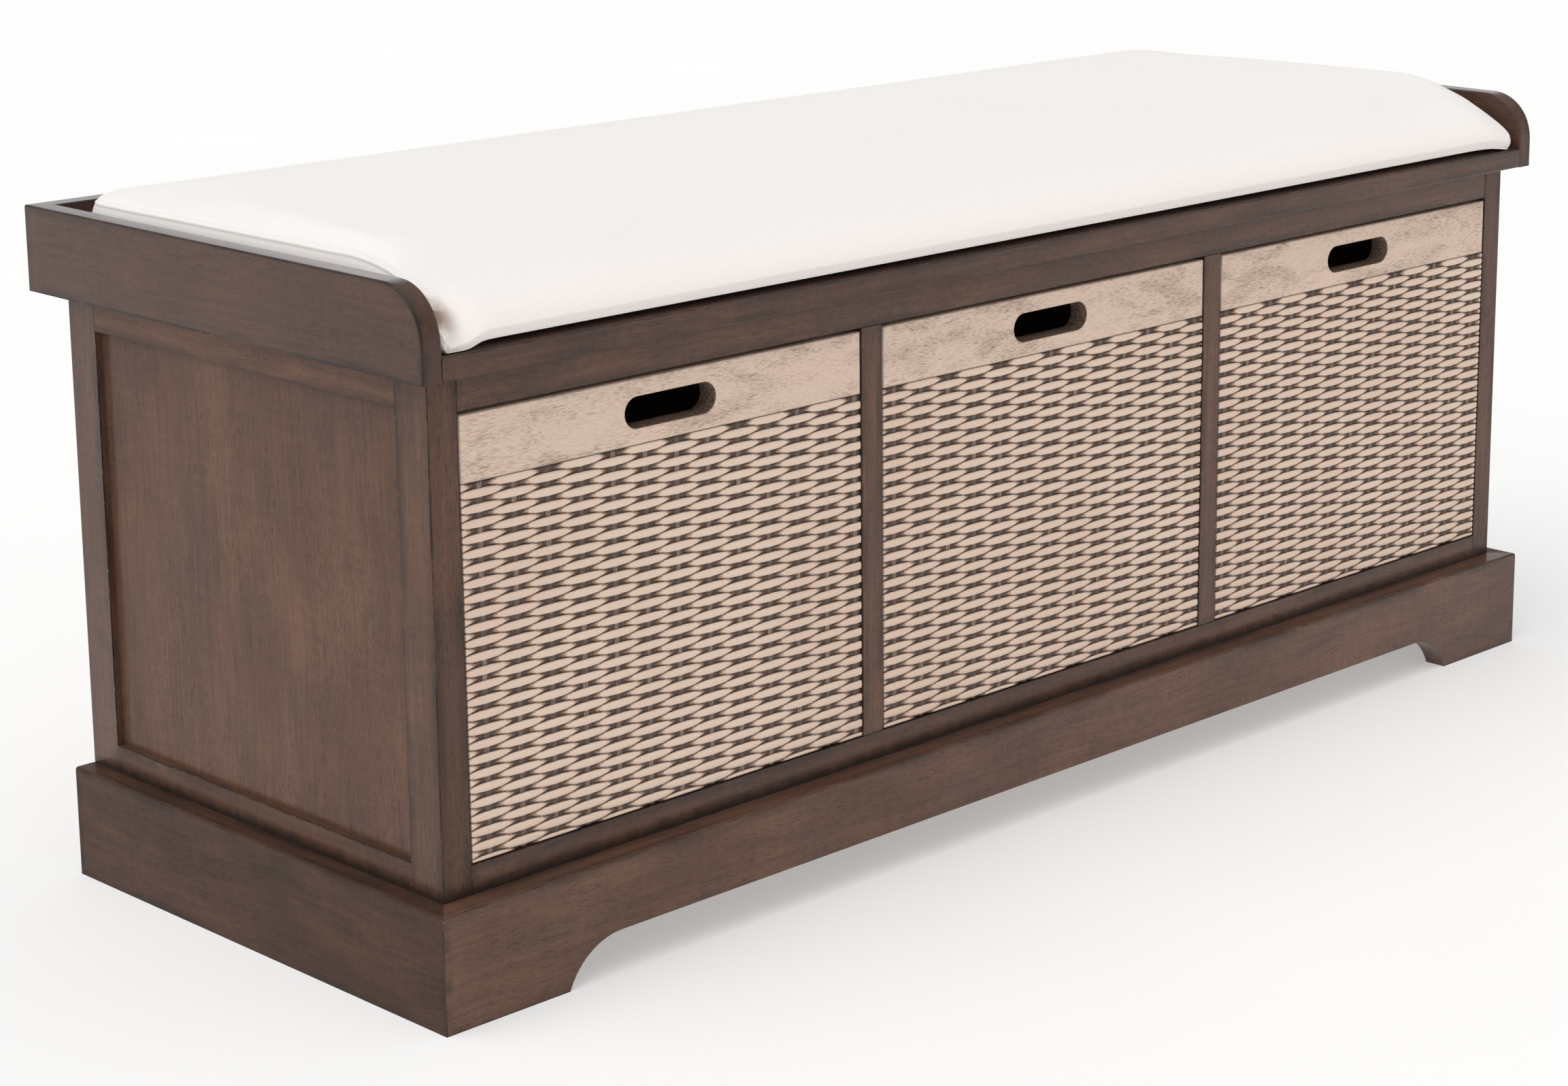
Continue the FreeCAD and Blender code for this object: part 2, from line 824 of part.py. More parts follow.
def make_bin(number):
    """One bin: carved front, two sides, back and a bottom held in grooves."""
    name = f"bin_{number}"
    bay_low = -bay_half + (bay_width + S.divider_thick) * (number - 1)
    front_low_x = bay_low + S.bin_side_gap
    front_width = bay_width - S.bin_side_gap * 2
    front_low_z = S.floor_level + S.bin_bottom_gap
    front_height = bay_height - S.bin_bottom_gap - S.bin_top_gap
    wall_low_z = S.floor_level + S.bin_slide_gap
    bottom_z = wall_low_z + S.bin_bottom_lift
    box_low_x = front_low_x + S.bin_wall_inset
    box_width = front_width - S.bin_wall_inset * 2
    wall_front = body_front + S.bin_front_thick
    wall_length = S.bin_depth - S.bin_front_thick

    front = slab(
        f"{name}_front",
        "XZ_Plane",
        (front_low_x, body_front, front_low_z),
        rectangle(ZERO, ZERO, front_width, front_height),
        S.bin_front_thick,
        reverse=True,
    )
    radius = S.slot_height / 2
    centre_z = front_height - S.slot_drop
    straight = (S.slot_length - S.slot_height) / 2
    middle_x = front_width / 2
    slot = sketch_on(front, "XZ_Plane", f"{name}_slot")
    outline(
        slot,
        [
            (middle_x - straight, centre_z - radius),
            (middle_x - straight, centre_z + radius),
            (middle_x + straight, centre_z + radius),
            (middle_x + straight, centre_z - radius),
        ],
        arcs={0: radius, 2: radius},
    )
    pocket(front, slot, S.bin_front_thick)

    def front_border(middle, along):
        width = front_width.value
        height = front_height.value
        on_border = near(middle.x, 0) or near(middle.x, width)
        on_border = on_border or near(middle.z, 0) or near(middle.z, height)
        return near(middle.y, 0) and on_border

    round_edges(front, S.edge_round, front_border)
    inside_front = block(
        f"{name}_front_groove",
        (box_low_x + S.bin_groove, wall_front - S.bin_groove, bottom_z),
        (box_width - S.bin_groove * 2, S.bin_groove, S.bin_bottom_thick),
    )
    grooved_front = doc.addObject("Part::Cut", f"{name}_front_grooved")
    grooved_front.Base = front
    grooved_front.Tool = inside_front
    front.Label = f"{name}_front_blank"
    keep(grooved_front, f"{name}_front")

    right_wall_x = box_low_x + box_width - S.bin_wall_thick
    for wall_name, wall_x, groove_x in (
        ("left_side", box_low_x, box_low_x + S.bin_wall_thick - S.bin_groove),
        ("right_side", right_wall_x, right_wall_x),
    ):
        wall = block(
            f"{name}_{wall_name}_plank",
            (wall_x, wall_front, wall_low_z),
            (S.bin_wall_thick, wall_length, S.bin_wall_height),
        )
        groove = block(
            f"{name}_{wall_name}_groove",
            (groove_x, wall_front, bottom_z),
            (S.bin_groove, wall_length, S.bin_bottom_thick),
        )
        grooved = doc.addObject("Part::Cut", f"{name}_{wall_name}_grooved")
        grooved.Base = wall
        grooved.Tool = groove
        keep(grooved, f"{name}_{wall_name}")

    inner_x = box_low_x + S.bin_wall_thick
    inner_width = box_width - S.bin_wall_thick * 2
    back_low_z = bottom_z + S.bin_bottom_thick
    back = block(
        f"{name}_back",
        (inner_x, wall_front + wall_length - S.bin_wall_thick, back_low_z),
        (inner_width, S.bin_wall_thick, wall_low_z + S.bin_wall_height - back_low_z),
    )
    keep(back, f"{name}_back")
    bottom = block(
        f"{name}_bottom",
        (inner_x - S.bin_groove, wall_front - S.bin_groove, bottom_z),
        (inner_width + S.bin_groove * 2, wall_length + S.bin_groove, S.bin_bottom_thick),
    )
    keep(bottom, f"{name}_bottom")


# ---------------------------------------------------------------- the whole bench

make_plinth_front()
for side_name, side in SIDES:
    make_plinth_side(side_name, side)
    make_post(side_name, side, "front")
    make_post(side_name, side, "back")
    make_side_rails_and_panel(side_name, side)
    make_tray_side(side_name, side)
make_plinth_inside()
make_front_rails()
make_back()
make_floor_and_dividers()
make_seat_board()
make_tray_back()
make_cushion()
for number in range(1, BIN_COUNT + 1):
    make_bin(number)

doc.recompute()

for thing in doc.Objects:
    if "Invalid" in thing.State or "Error" in thing.State:
        raise RuntimeError(f"{thing.Label} failed: {thing.State}")
for node in nodes:
    if node.Shape.isNull() or not node.Shape.isValid() or not node.Shape.Solids:
        raise RuntimeError(f"{node.Label} has no valid solid")

os.makedirs("parts", exist_ok=True)
for node in nodes:
    node.Shape.exportStep(f"parts/{node.Label}.step")
print(f"{len(nodes)} sub-parts written")
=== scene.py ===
import json
import math

import bpy
import bmesh
import numpy as np
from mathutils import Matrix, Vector


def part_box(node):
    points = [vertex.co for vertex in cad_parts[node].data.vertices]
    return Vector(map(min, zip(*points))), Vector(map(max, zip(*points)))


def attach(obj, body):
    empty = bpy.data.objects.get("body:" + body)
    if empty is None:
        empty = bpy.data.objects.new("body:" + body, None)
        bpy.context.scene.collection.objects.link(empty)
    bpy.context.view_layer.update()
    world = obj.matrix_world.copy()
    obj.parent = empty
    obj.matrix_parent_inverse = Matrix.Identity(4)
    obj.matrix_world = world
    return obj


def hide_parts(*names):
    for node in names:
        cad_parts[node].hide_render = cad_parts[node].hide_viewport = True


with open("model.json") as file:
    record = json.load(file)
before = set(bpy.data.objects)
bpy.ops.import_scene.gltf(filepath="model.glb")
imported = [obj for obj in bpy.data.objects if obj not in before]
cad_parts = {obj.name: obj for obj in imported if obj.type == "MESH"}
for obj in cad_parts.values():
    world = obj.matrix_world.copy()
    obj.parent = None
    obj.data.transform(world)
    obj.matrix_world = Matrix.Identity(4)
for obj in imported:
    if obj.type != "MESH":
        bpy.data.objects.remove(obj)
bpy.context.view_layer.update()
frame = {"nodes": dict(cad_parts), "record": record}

# Looks for the entryway bench. Metres, in the frame of the CAD model: +X along the bench, the bins
# face -Y, +Z up, and the floor is at zero.

nodes = frame["nodes"]
MM = 0.001

# ------------------------------------------------------------------------------------------ camera

CAMERA_PLACE = Vector((-1.6596, -1.6625, 0.7963))
CAMERA_HEADING = 46.381  # degrees from +Y towards +X
CAMERA_DIP = 12.735  # degrees below level
CAMERA_SHIFT = (-0.10, -0.10)  # the photograph was taken with a larger one
FOCAL_LENGTH = 77.833  # mm on a 36 mm wide sensor


def make_camera():
    data = bpy.data.cameras.new("camera")
    data.sensor_width = 36.0
    data.lens = FOCAL_LENGTH
    data.shift_x, data.shift_y = CAMERA_SHIFT
    data.clip_start = 0.05
    data.clip_end = 60.0
    camera = bpy.data.objects.new("camera", data)
    bpy.context.scene.collection.objects.link(camera)
    camera.location = CAMERA_PLACE
    camera.rotation_euler = (
        math.radians(90 - CAMERA_DIP),
        0.0,
        math.radians(-CAMERA_HEADING),
    )
    bpy.context.scene.camera = camera


# ------------------------------------------------------------------------------- light and backdrop

BACKDROP_LIGHT = 0.66  # near the horizon
SKY_DIM = 0.24  # high up, away from the softbox
SKY_BRIGHT = 0.74  # added round the softbox
SOFTBOX_SIDE = Vector((-0.3, -0.1, 0.95)).normalized()
SUN_LIGHT = 1.12
SUN_WIDTH = 60.0  # degrees
SUN_FROM = Vector((-0.5, 0.0, 0.85))
WARM_SIDE = (1.0, 0.965, 0.92, 1.0)  # colour of the light that comes from -X
FLOOR_COLOUR = (0.60, 0.60, 0.60, 1.0)
FLOOR_SHADE = (0.585, 0.585, 0.585, 1.0)
FLOOR_REACH = 15.0
FLOOR_GLOW = 0.36  # the backdrop is overexposed in the photograph


def make_light():
    """A sky that is even near the horizon and brighter round the softbox, and a wide soft sun."""
    scene = bpy.context.scene
    scene.view_settings.view_transform = "Standard"
    world = bpy.data.worlds.new("studio")
    world.use_nodes = True
    scene.world = world
    sky = Shader(tree=world.node_tree)
    direction = sky.add("ShaderNodeTexCoord").outputs["Generated"]
    toward = sky.add("ShaderNodeVectorMath", direction, tuple(SOFTBOX_SIDE), operation="DOT_PRODUCT")
    glow = sky.fit(toward.outputs["Value"], 0.1, 0.95, SKY_DIM, SKY_DIM + SKY_BRIGHT, smooth=True)
    height = sky.fit(sky.split(direction)[2], 0.22, 0.50, smooth=True)
    step = sky.calc("MULTIPLY", height, sky.calc("SUBTRACT", glow, BACKDROP_LIGHT))
    background = world.node_tree.nodes["Background"]
    sky.feed(background.inputs["Strength"], sky.calc("ADD", step, BACKDROP_LIGHT))
    warm = sky.fit(sky.split(direction)[0], 0.1, -0.9, smooth=True)
    sky.feed(background.inputs["Color"], sky.mix(warm, (1.0, 1.0, 1.0, 1.0), WARM_SIDE))
    sun = bpy.data.lights.new("softbox", "SUN")
    sun.energy = SUN_LIGHT
    sun.angle = math.radians(SUN_WIDTH)
    lamp = bpy.data.objects.new("softbox", sun)
    scene.collection.objects.link(lamp)
    lamp.rotation_euler = SUN_FROM.to_track_quat("Z", "Y").to_euler()


def make_floor():
    mesh = bpy.data.meshes.new("floor")
    signs = ((-1, -1), (1, -1), (1, 1), (-1, 1))
    corners = [(x * FLOOR_REACH, y * FLOOR_REACH, 0) for x, y in signs]
    mesh.from_pydata(corners, [], [(0, 1, 2, 3)])
    floor = bpy.data.objects.new("floor", mesh)
    bpy.context.scene.collection.objects.link(floor)
    paint = Shader("floor_paper")
    shade = paint.noise(paint.place(), 3.0, detail=2.0)
    paint.surface(
        colour=paint.mix(paint.fit(shade, 0.3, 0.7), FLOOR_COLOUR, FLOOR_SHADE),
        roughness=0.9,
        specular=0.2,
        glow=FLOOR_GLOW,
    )
    mesh.materials.append(paint.material)


# ---------------------------------------------------------------------------------- shader building

SHADER_SOCKETS = {
    "specular": "Specular IOR Level",
    "metallic": "Metallic",
    "sheen": "Sheen Weight",
    "coat": "Coat Weight",
    "coat_roughness": "Coat Roughness",
    "coat_ior": "Coat IOR",
    "glow": "Emission Strength",
}


class Shader:
    """A material whose nodes are added by short calls; each returns an output socket."""

    def __init__(self, name=None, tree=None):
        self.tree = tree
        if tree is None:
            self.material = bpy.data.materials.new(name)
            self.material.use_nodes = True
            self.tree = self.material.node_tree
            self.tree.nodes.clear()
            self.output = self.tree.nodes.new("ShaderNodeOutputMaterial")

    def feed(self, socket, value):
        if isinstance(value, bpy.types.NodeSocket):
            self.tree.links.new(value, socket)
        else:
            socket.default_value = value

    def add(self, kind, *values, **settings):
        node = self.tree.nodes.new(kind)
        for name, value in settings.items():
            setattr(node, name, value)
        for socket, value in zip(node.inputs, values):
            if value is not None:
                self.feed(socket, value)
        return node

    def place(self):
        return self.add("ShaderNodeTexCoord").outputs["Object"]

    def attribute(self, name):
        return self.add("ShaderNodeAttribute", attribute_name=name).outputs["Fac"]

    def calc(self, operation, *values, clamp=False):
        node = self.add("ShaderNodeMath", *values, operation=operation, use_clamp=clamp)
        return node.outputs[0]

    def vector(self, operation, *values):
        return self.add("ShaderNodeVectorMath", *values, operation=operation).outputs[0]

    def split(self, vector):
        return self.add("ShaderNodeSeparateXYZ", vector).outputs

    def noise(self, vector, scale, detail=2.0, rough=0.5, bend=0.0):
        node = self.add("ShaderNodeTexNoise")
        self.feed(node.inputs["Vector"], vector)
        node.inputs["Scale"].default_value = scale
        node.inputs["Detail"].default_value = detail
        node.inputs["Roughness"].default_value = rough
        node.inputs["Distortion"].default_value = bend
        return node.outputs["Fac"]

    def cells(self, vector, scale):
        """Voronoi cells: (distance from the cell's point, the cell's own random number)."""
        node = self.add("ShaderNodeTexVoronoi")
        self.feed(node.inputs["Vector"], vector)
        node.inputs["Scale"].default_value = scale
        return node.outputs["Distance"], self.split(node.outputs["Color"])[0]

    def fit(self, value, low, high, new_low=0.0, new_high=1.0, smooth=False):
        node = self.add("ShaderNodeMapRange", value, low, high, new_low, new_high)
        node.interpolation_type = "SMOOTHSTEP" if smooth else "LINEAR"
        return node.outputs[0]

    def blend(self, data_type, factor, first, second, **settings):
        node = self.add("ShaderNodeMix", data_type=data_type, **settings)
        for name, value in (("Factor", factor), ("A", first), ("B", second)):
            self.feed(node.inputs[name], value)
        return node.outputs["Result"]

    def mix(self, factor, first, second, blend_type="MIX"):
        return self.blend("RGBA", factor, first, second, blend_type=blend_type)

    def bump(self, height, depth):
        node = self.add("ShaderNodeBump")
        node.inputs["Strength"].default_value = 1.0
        node.inputs["Distance"].default_value = depth
        self.feed(node.inputs["Height"], height)
        return node.outputs["Normal"]

    def tint(self, colour, factor):
        """A colour multiplied by a grey."""
        grey = self.add("ShaderNodeCombineXYZ", factor, factor, factor).outputs[0]
        return self.mix(1.0, colour, grey, "MULTIPLY")

    def surface(self, colour, roughness, normal=None, **fixed):
        """Finishes the material; fixed gives the shader's constant numbers by their keys."""
        node = self.add("ShaderNodeBsdfPrincipled")
        self.feed(node.inputs["Base Color"], colour)
        self.feed(node.inputs["Roughness"], roughness)
        for key, value in fixed.items():
            node.inputs[SHADER_SOCKETS[key]].default_value = value
        node.inputs["Emission Color"].default_value = (1, 1, 1, 1)
        if normal is not None:
            self.feed(node.inputs["Normal"], normal)
        self.tree.links.new(node.outputs[0], self.output.inputs["Surface"])
        return self.material


GRAIN_WAVE = 9 * MM


def along_grain(paint, axis, seed, along, across, wavy=False):
    """Object coordinates moved to a board's own patch and stretched along its grain."""
    shift = (seed * 0.371, seed * 0.613, seed * 0.829)
    moved = paint.vector("ADD", paint.place(), shift)
    if wavy:
        bend = paint.noise(along_grain(paint, axis, seed + 11, 7, 13), 1.0, detail=2.0)
        bend = paint.calc("MULTIPLY", paint.calc("SUBTRACT", bend, 0.5), 2 * GRAIN_WAVE)
        offset = [bend, bend, bend]
        offset["xyz".index(axis)] = 0.0
        moved = paint.vector("ADD", moved, paint.add("ShaderNodeCombineXYZ", *offset).outputs[0])
    stretch = [across, across, across]
    stretch["xyz".index(axis)] = along
    return paint.vector("MULTIPLY", moved, tuple(stretch))


def edge_distance(paint, low, high, round_corner=None):
    """How far a point on a board's surface is from the nearest edge of its box, in metres.

    round_corner is (y, z, radius) of a front corner that is cut round in the YZ plane.
    """
    place = paint.place()
    from_low = paint.vector("SUBTRACT", place, tuple(low))
    from_high = paint.vector("SUBTRACT", tuple(high), place)
    x, y, z = paint.split(paint.vector("MINIMUM", from_low, from_high))
    if round_corner is None:
        smaller = paint.calc("MINIMUM", x, y)
        larger = paint.calc("MAXIMUM", x, y)
        return paint.calc("MAXIMUM", smaller, paint.calc("MINIMUM", larger, z))
    corner_y, corner_z, radius = round_corner
    offset = paint.vector("SUBTRACT", place, (0.0, corner_y, corner_z))
    _, dy, dz = paint.split(offset)
    behind = paint.calc("MAXIMUM", paint.calc("MULTIPLY", dy, -1.0), 0.0)
    above = paint.calc("MAXIMUM", dz, 0.0)
    squares = paint.calc("ADD", paint.calc("POWER", behind, 2.0), paint.calc("POWER", above, 2.0))
    is_behind = paint.calc("GREATER_THAN", behind, 0.0)
    in_corner = paint.calc("MULTIPLY", is_behind, paint.calc("GREATER_THAN", above, 0.0))
    straight = paint.calc("MINIMUM", y, z)
    rounded = paint.calc("SUBTRACT", radius, paint.calc("SQRT", squares))
    return paint.calc("MAXIMUM", x, paint.blend("FLOAT", in_corner, straight, rounded))


# ------------------------------------------------------------------------------------ wood finishes

STAIN_DEEP = (0.100, 0.048, 0.030, 1)
STAIN_WARM = (0.136, 0.067, 0.042, 1)
STAIN_GREY = (0.093, 0.053, 0.040, 1)
GLAZE = (0.014, 0.010, 0.009, 1)


STAIN_WORN = (0.33, 0.24, 0.19, 1)  # where an edge is rubbed through
# colour of the painted reflection of the bright backdrop on the tray's flat top
TRAY_REFLECTION_PAINT = (0.23, 0.215, 0.225, 1)
BOARD_RIM = 0.8 * MM  # width of the dark line along a board's edges
TRAY_RIM = 1.5 * MM
GLAZE_RISE = 9 * MM  # how high above the plinth dark glaze has gathered


def stain(paint, axis, seed, tone):
    """A board's stained colour, the mask of its pores, and the noises of its streaks and tints."""
    broad = paint.noise(along_grain(paint, axis, seed, 7, 16), 1.0, detail=3.0, bend=0.8)
    cool = paint.noise(along_grain(paint, axis, seed + 5, 11, 30), 1.0, detail=3.0, bend=0.5)
    streak = paint.noise(along_grain(paint, axis, seed, 12, 300, True), 1.0, detail=4.0, rough=0.6)
    ripple = paint.noise(along_grain(paint, axis, seed + 2, 170, 40), 1.0, detail=2.0, bend=1.0)
    pores = paint.noise(along_grain(paint, axis, seed, 120, 3400, True), 1.0, detail=1.5)
    patch = paint.noise(along_grain(paint, axis, seed + 9, 16, 50), 1.0, detail=2.0)
    colour = paint.mix(paint.fit(broad, 0.30, 0.68, smooth=True), STAIN_DEEP, STAIN_WARM)
    colour = paint.mix(paint.fit(cool, 0.42, 0.70, 0, 0.7, smooth=True), colour, STAIN_GREY)
    streak_shade = paint.fit(streak, 0.25, 0.75, 0.78, 1.20)
    shade = paint.calc("MULTIPLY", streak_shade, paint.fit(ripple, 0.3, 0.7, 0.93, 1.07))
    colour = paint.tint(colour, paint.calc("MULTIPLY", shade, tone))
    patches = paint.fit(patch, 0.35, 0.62, 0.30, 0.66)
    pore_mask = paint.calc("MULTIPLY", paint.fit(pores, 0.53, 0.64), patches)
    return paint.mix(pore_mask, colour, GLAZE), pore_mask, streak, cool


def glaze_along_edges(paint, axis, seed, rim, distance):
    """Dark glaze in a thin line along a board's edges, and in a wider band in places."""
    uneven = paint.noise(paint.place(), 90.0, detail=2.0)
    wobble = paint.calc("ADD", distance, paint.fit(uneven, 0.3, 0.7, -0.25 * MM, 0.25 * MM))
    line = paint.fit(wobble, 0.5 * rim, 1.4 * rim, 0.92, 0.0, smooth=True)
    rub = paint.noise(paint.place(), 22.0, detail=2.0)
    line = paint.calc("MULTIPLY", line, paint.fit(rub, 0.35, 0.55, 0.5, 1.0))
    pooled = paint.noise(along_grain(paint, axis, seed + 21, 14, 60), 1.0, detail=3.0)
    pooled = paint.fit(pooled, 0.42, 0.62, 0.08, 0.50, smooth=True)
    band = paint.fit(distance, 1.5 * MM, 8 * MM, 1.0, 0.0, smooth=True)
    return paint.calc("MAXIMUM", line, paint.calc("MULTIPLY", band, pooled))


def glaze_above(paint, foot):
    """Dark glaze that has gathered just above a height."""
    uneven = paint.noise(paint.place(), 90.0, detail=2.0)
    height = paint.calc("SUBTRACT", paint.split(paint.place())[2], foot)
    height = paint.calc("ADD", height, paint.fit(uneven, 0.3, 0.7, -1.5 * MM, 1.5 * MM))
    return paint.fit(height, 0.5 * MM, GLAZE_RISE, 0.82, 0.0, smooth=True)


def stained_wood(name, box, axis, seed, look, round_corner=None, foot=None, on_tray=False):
    """Grey-brown stained hardwood: fine pores, soft blotches and dark glaze along the edges.

    look is (how light the board is, how thick its varnish is), and foot is the height above which
    dark glaze has gathered. The tray has a wider dark line; its flat top has a painted reflection.
    """
    tone, varnish = look
    paint = Shader(name)
    colour, pore_mask, streak, cool = stain(paint, axis, seed, tone)
    distance = edge_distance(paint, *box, round_corner)
    rim = TRAY_RIM if on_tray else BOARD_RIM
    glaze = glaze_along_edges(paint, axis, seed, rim, distance)
    if foot is not None:
        glaze = paint.calc("MAXIMUM", glaze, glaze_above(paint, foot))
    colour = paint.mix(glaze, colour, GLAZE)
    speck = paint.noise(paint.place(), 420.0, detail=2.0)
    at_edge = paint.fit(distance, 0.35 * MM, 0.55 * MM, 1.0, 0.0)
    worn = paint.calc("MULTIPLY", at_edge, paint.fit(speck, 0.62, 0.70))
    colour = paint.mix(paint.calc("MULTIPLY", worn, 0.5), colour, STAIN_WORN)
    # Painted reflection: the tray's flat, upward-facing top is painted paler and greyer, as if it
    # mirrored the backdrop.
    if on_tray:
        upward = paint.split(paint.add("ShaderNodeNewGeometry").outputs["Normal"])[2]
        not_glazed = paint.calc("SUBTRACT", 1.0, glaze)
        painted_reflection = paint.calc("MULTIPLY", paint.fit(upward, 0.96, 0.995, 0.0, 0.6), not_glazed)
        colour = paint.mix(painted_reflection, colour, TRAY_REFLECTION_PAINT)
    relief_height = paint.calc("SUBTRACT", paint.fit(streak, 0.3, 0.7, 0.0, 0.5), pore_mask)
    return paint.surface(
        colour=colour,
        roughness=paint.fit(cool, 0.3, 0.7, 0.50, 0.65),
        specular=0.12,
        normal=paint.bump(relief_height, 0.05 * MM),
        coat=varnish,
        coat_roughness=0.11 if on_tray else 0.18,
        coat_ior=1.3,
    )


def plain_wood(name, axis, seed, light, dark):
    """Unstained inner wood: long grain streaks and small pores."""
    paint = Shader(name)
    streak = paint.noise(along_grain(paint, axis, seed, 5, 120), 1.0, detail=4.0, bend=0.6)
    fine = paint.noise(along_grain(paint, axis, seed, 30, 900), 1.0, detail=3.0)
    pores = paint.noise(along_grain(paint, axis, seed, 240, 2200), 1.0, detail=1.0)
    colour = paint.mix(paint.fit(streak, 0.3, 0.7, smooth=True), light, dark)
    colour = paint.mix(paint.fit(fine, 0.3, 0.75, 0, 0.35), colour, dark)
    pore_colour = tuple(0.3 * c for c in dark[:3]) + (1,)
    colour = paint.mix(paint.fit(pores, 0.6, 0.72, 0, 0.5), colour, pore_colour)
    return paint.surface(colour, paint.fit(fine, 0.3, 0.7, 0.5, 0.65), paint.bump(fine, 0.1 * MM))


ZINC_GREY = (0.50, 0.51, 0.53, 1)
ZINC_PALE = (0.64, 0.64, 0.64, 1)
ZINC_SMEAR = (0.30, 0.29, 0.28, 1)
NYLON_DARK = (0.050, 0.036, 0.027, 1)
NYLON_LIGHT = (0.085, 0.064, 0.050, 1)
NYLON_SCUFF = (0.20, 0.17, 0.145, 1)


def zinc_plate(name):
    """Zinc-plated screw steel: pale crystals, fine scratches and darker smears."""
    paint = Shader(name)
    place = paint.place()
    _, crystal = paint.cells(place, 900.0)
    smear = paint.noise(place, 260.0, detail=4.0)
    scratch = paint.noise(paint.vector("MULTIPLY", place, (2500, 2500, 300)), 1.0, detail=2.0)
    colour = paint.mix(crystal, ZINC_GREY, ZINC_PALE)
    colour = paint.mix(paint.fit(smear, 0.5, 0.75, 0.0, 0.6), colour, ZINC_SMEAR)
    scratched = paint.fit(scratch, 0.3, 0.7, 0.0, 0.1)
    roughness = paint.calc("ADD", paint.fit(smear, 0.3, 0.7, 0.28, 0.42), scratched)
    return paint.surface(colour, roughness, paint.bump(scratch, 0.02 * MM), metallic=1.0)


def nylon(name):
    """Brown moulded nylon with a faint grain and scuffed patches."""
    paint = Shader(name)
    place = paint.place()
    grain = paint.noise(place, 1800.0, detail=2.0)
    scuff = paint.noise(paint.vector("MULTIPLY", place, (500, 120, 500)), 1.0, detail=4.0)
    colour = paint.mix(paint.fit(grain, 0.3, 0.7), NYLON_DARK, NYLON_LIGHT)
    colour = paint.mix(paint.fit(scuff, 0.55, 0.75, 0.0, 0.4), colour, NYLON_SCUFF)
    return paint.surface(colour, paint.fit(scuff, 0.3, 0.7, 0.42, 0.62), paint.bump(grain, 0.03 * MM))


# ----------------------------------------------------------------------------- carved bin fronts

HEADER_HEIGHT = 40.5 * MM
HEADER_ROUND = 1.0 * MM
SLOT_LENGTH = 72.6 * MM
SLOT_HEIGHT = 19.2 * MM
SLOT_DROP = 20.6 * MM  # from the top of the header to the middle of the slot
SLOT_ARC_STEPS = 24
ROW_PITCH = 4.4 * MM
ROW_WAVE = 0.45 * MM  # how much wider a strand is over a stake than its pitch
ROW_CUT = 0.3 * MM  # rows that show less than this at the bottom or top are left out
ROW_GAP = 0.02 * MM  # least height between two lines of points
STAKE_PITCH = 25.15 * MM
STAKE_HALF = 2.2 * MM
STAKE_DEPTH = 0.7 * MM
STAKE_SEED = 40
STRAND_DIP = 1.45 * MM
STRAND_CROWN = 0.32 * MM
CROWN_POWER = 2.4
GROOVE_DEPTH = 0.2 * MM
ACROSS_STRAND = (-1.0, -0.78, -0.38, 0.0, 0.38, 0.78)
STAKE_STEPS = (-12.5, -10.8, -9.1, -7.5, -6.1, -4.8, -3.7, -2.75, -2.25, -1.2, 0.0)
SIDE_MARGIN = 0.4 * MM
TIP_MIDDLE = 0.705  # where a strand goes under, as a share of the stake pitch, along its middle
TIP_TAPER = 0.27  # and how much sooner it goes under along its edges
BIN_STAKE_START = {1: 13.8 * MM, 2: 10.5 * MM, 3: 7.0 * MM}
WASH = (0.75, 0.585, 0.475, 1)
WASH_PINK = (0.78, 0.585, 0.470, 1)
WASH_GREY = (0.49, 0.365, 0.285, 1)
WASH_BROWN = (0.175, 0.108, 0.068, 1)
WEAVE_LIGHT = (0.82, 0.635, 0.515, 1)
WEAVE_BROWN = (0.29, 0.190, 0.136, 1)
WEAVE_DARK = (0.064, 0.042, 0.033, 1)
WEAVE_LINE = (0.055, 0.036, 0.028, 1)
STAKE_WORN = (0.42, 0.310, 0.240, 1)
SLOT_DARK = (0.075, 0.047, 0.032, 1)
SLOT_SPECK = (0.30, 0.21, 0.15, 1)


def smoothstep(low, high, value):
    t = np.clip((value - low) / (high - low), 0.0, 1.0)
    return t * t * (3 - 2 * t)


def weave_columns(width, first_stake):
    """X positions across a front, close together at the sides of every stake."""
    steps = np.array(STAKE_STEPS)
    steps = np.concatenate([steps, -steps[-2:0:-1]]) * MM
    stakes = np.arange(first_stake - STAKE_PITCH, width + STAKE_PITCH, STAKE_PITCH)
    places = (stakes[:, None] + steps[None, :]).ravel()
    places = places[(places > SIDE_MARGIN) & (places < width - SIDE_MARGIN)]
    return np.concatenate([[0.0], np.sort(places), [width]])


def relief(x, row, across, first_stake):
    """Depth below the board's face, distance past the strand's tip, and masks of stake and line."""
    turn = (x - first_stake) / STAKE_PITCH + row
    from_crest = np.abs(turn - 2 * np.round(turn / 2))
    past_tip = from_crest - (TIP_MIDDLE - TIP_TAPER * abs(across) ** CROWN_POWER)
    dip = STRAND_DIP * smoothstep(-0.12, 0.20, past_tip)
    crown = STRAND_CROWN * abs(across) ** CROWN_POWER
    off_stake = (1 - from_crest) * STAKE_PITCH
    on_stake = off_stake < STAKE_HALF
    stake_depth = STAKE_DEPTH + 0.3 * MM * (off_stake / STAKE_HALF) ** 2 + 0.5 * crown
    depth = np.where(on_stake, np.minimum(dip + crown, stake_depth), dip + crown)
    line = np.full_like(x, float(abs(across) > 0.95))
    depth = depth + GROOVE_DEPTH * line
    return depth, past_tip * STAKE_PITCH, on_stake.astype(float), line


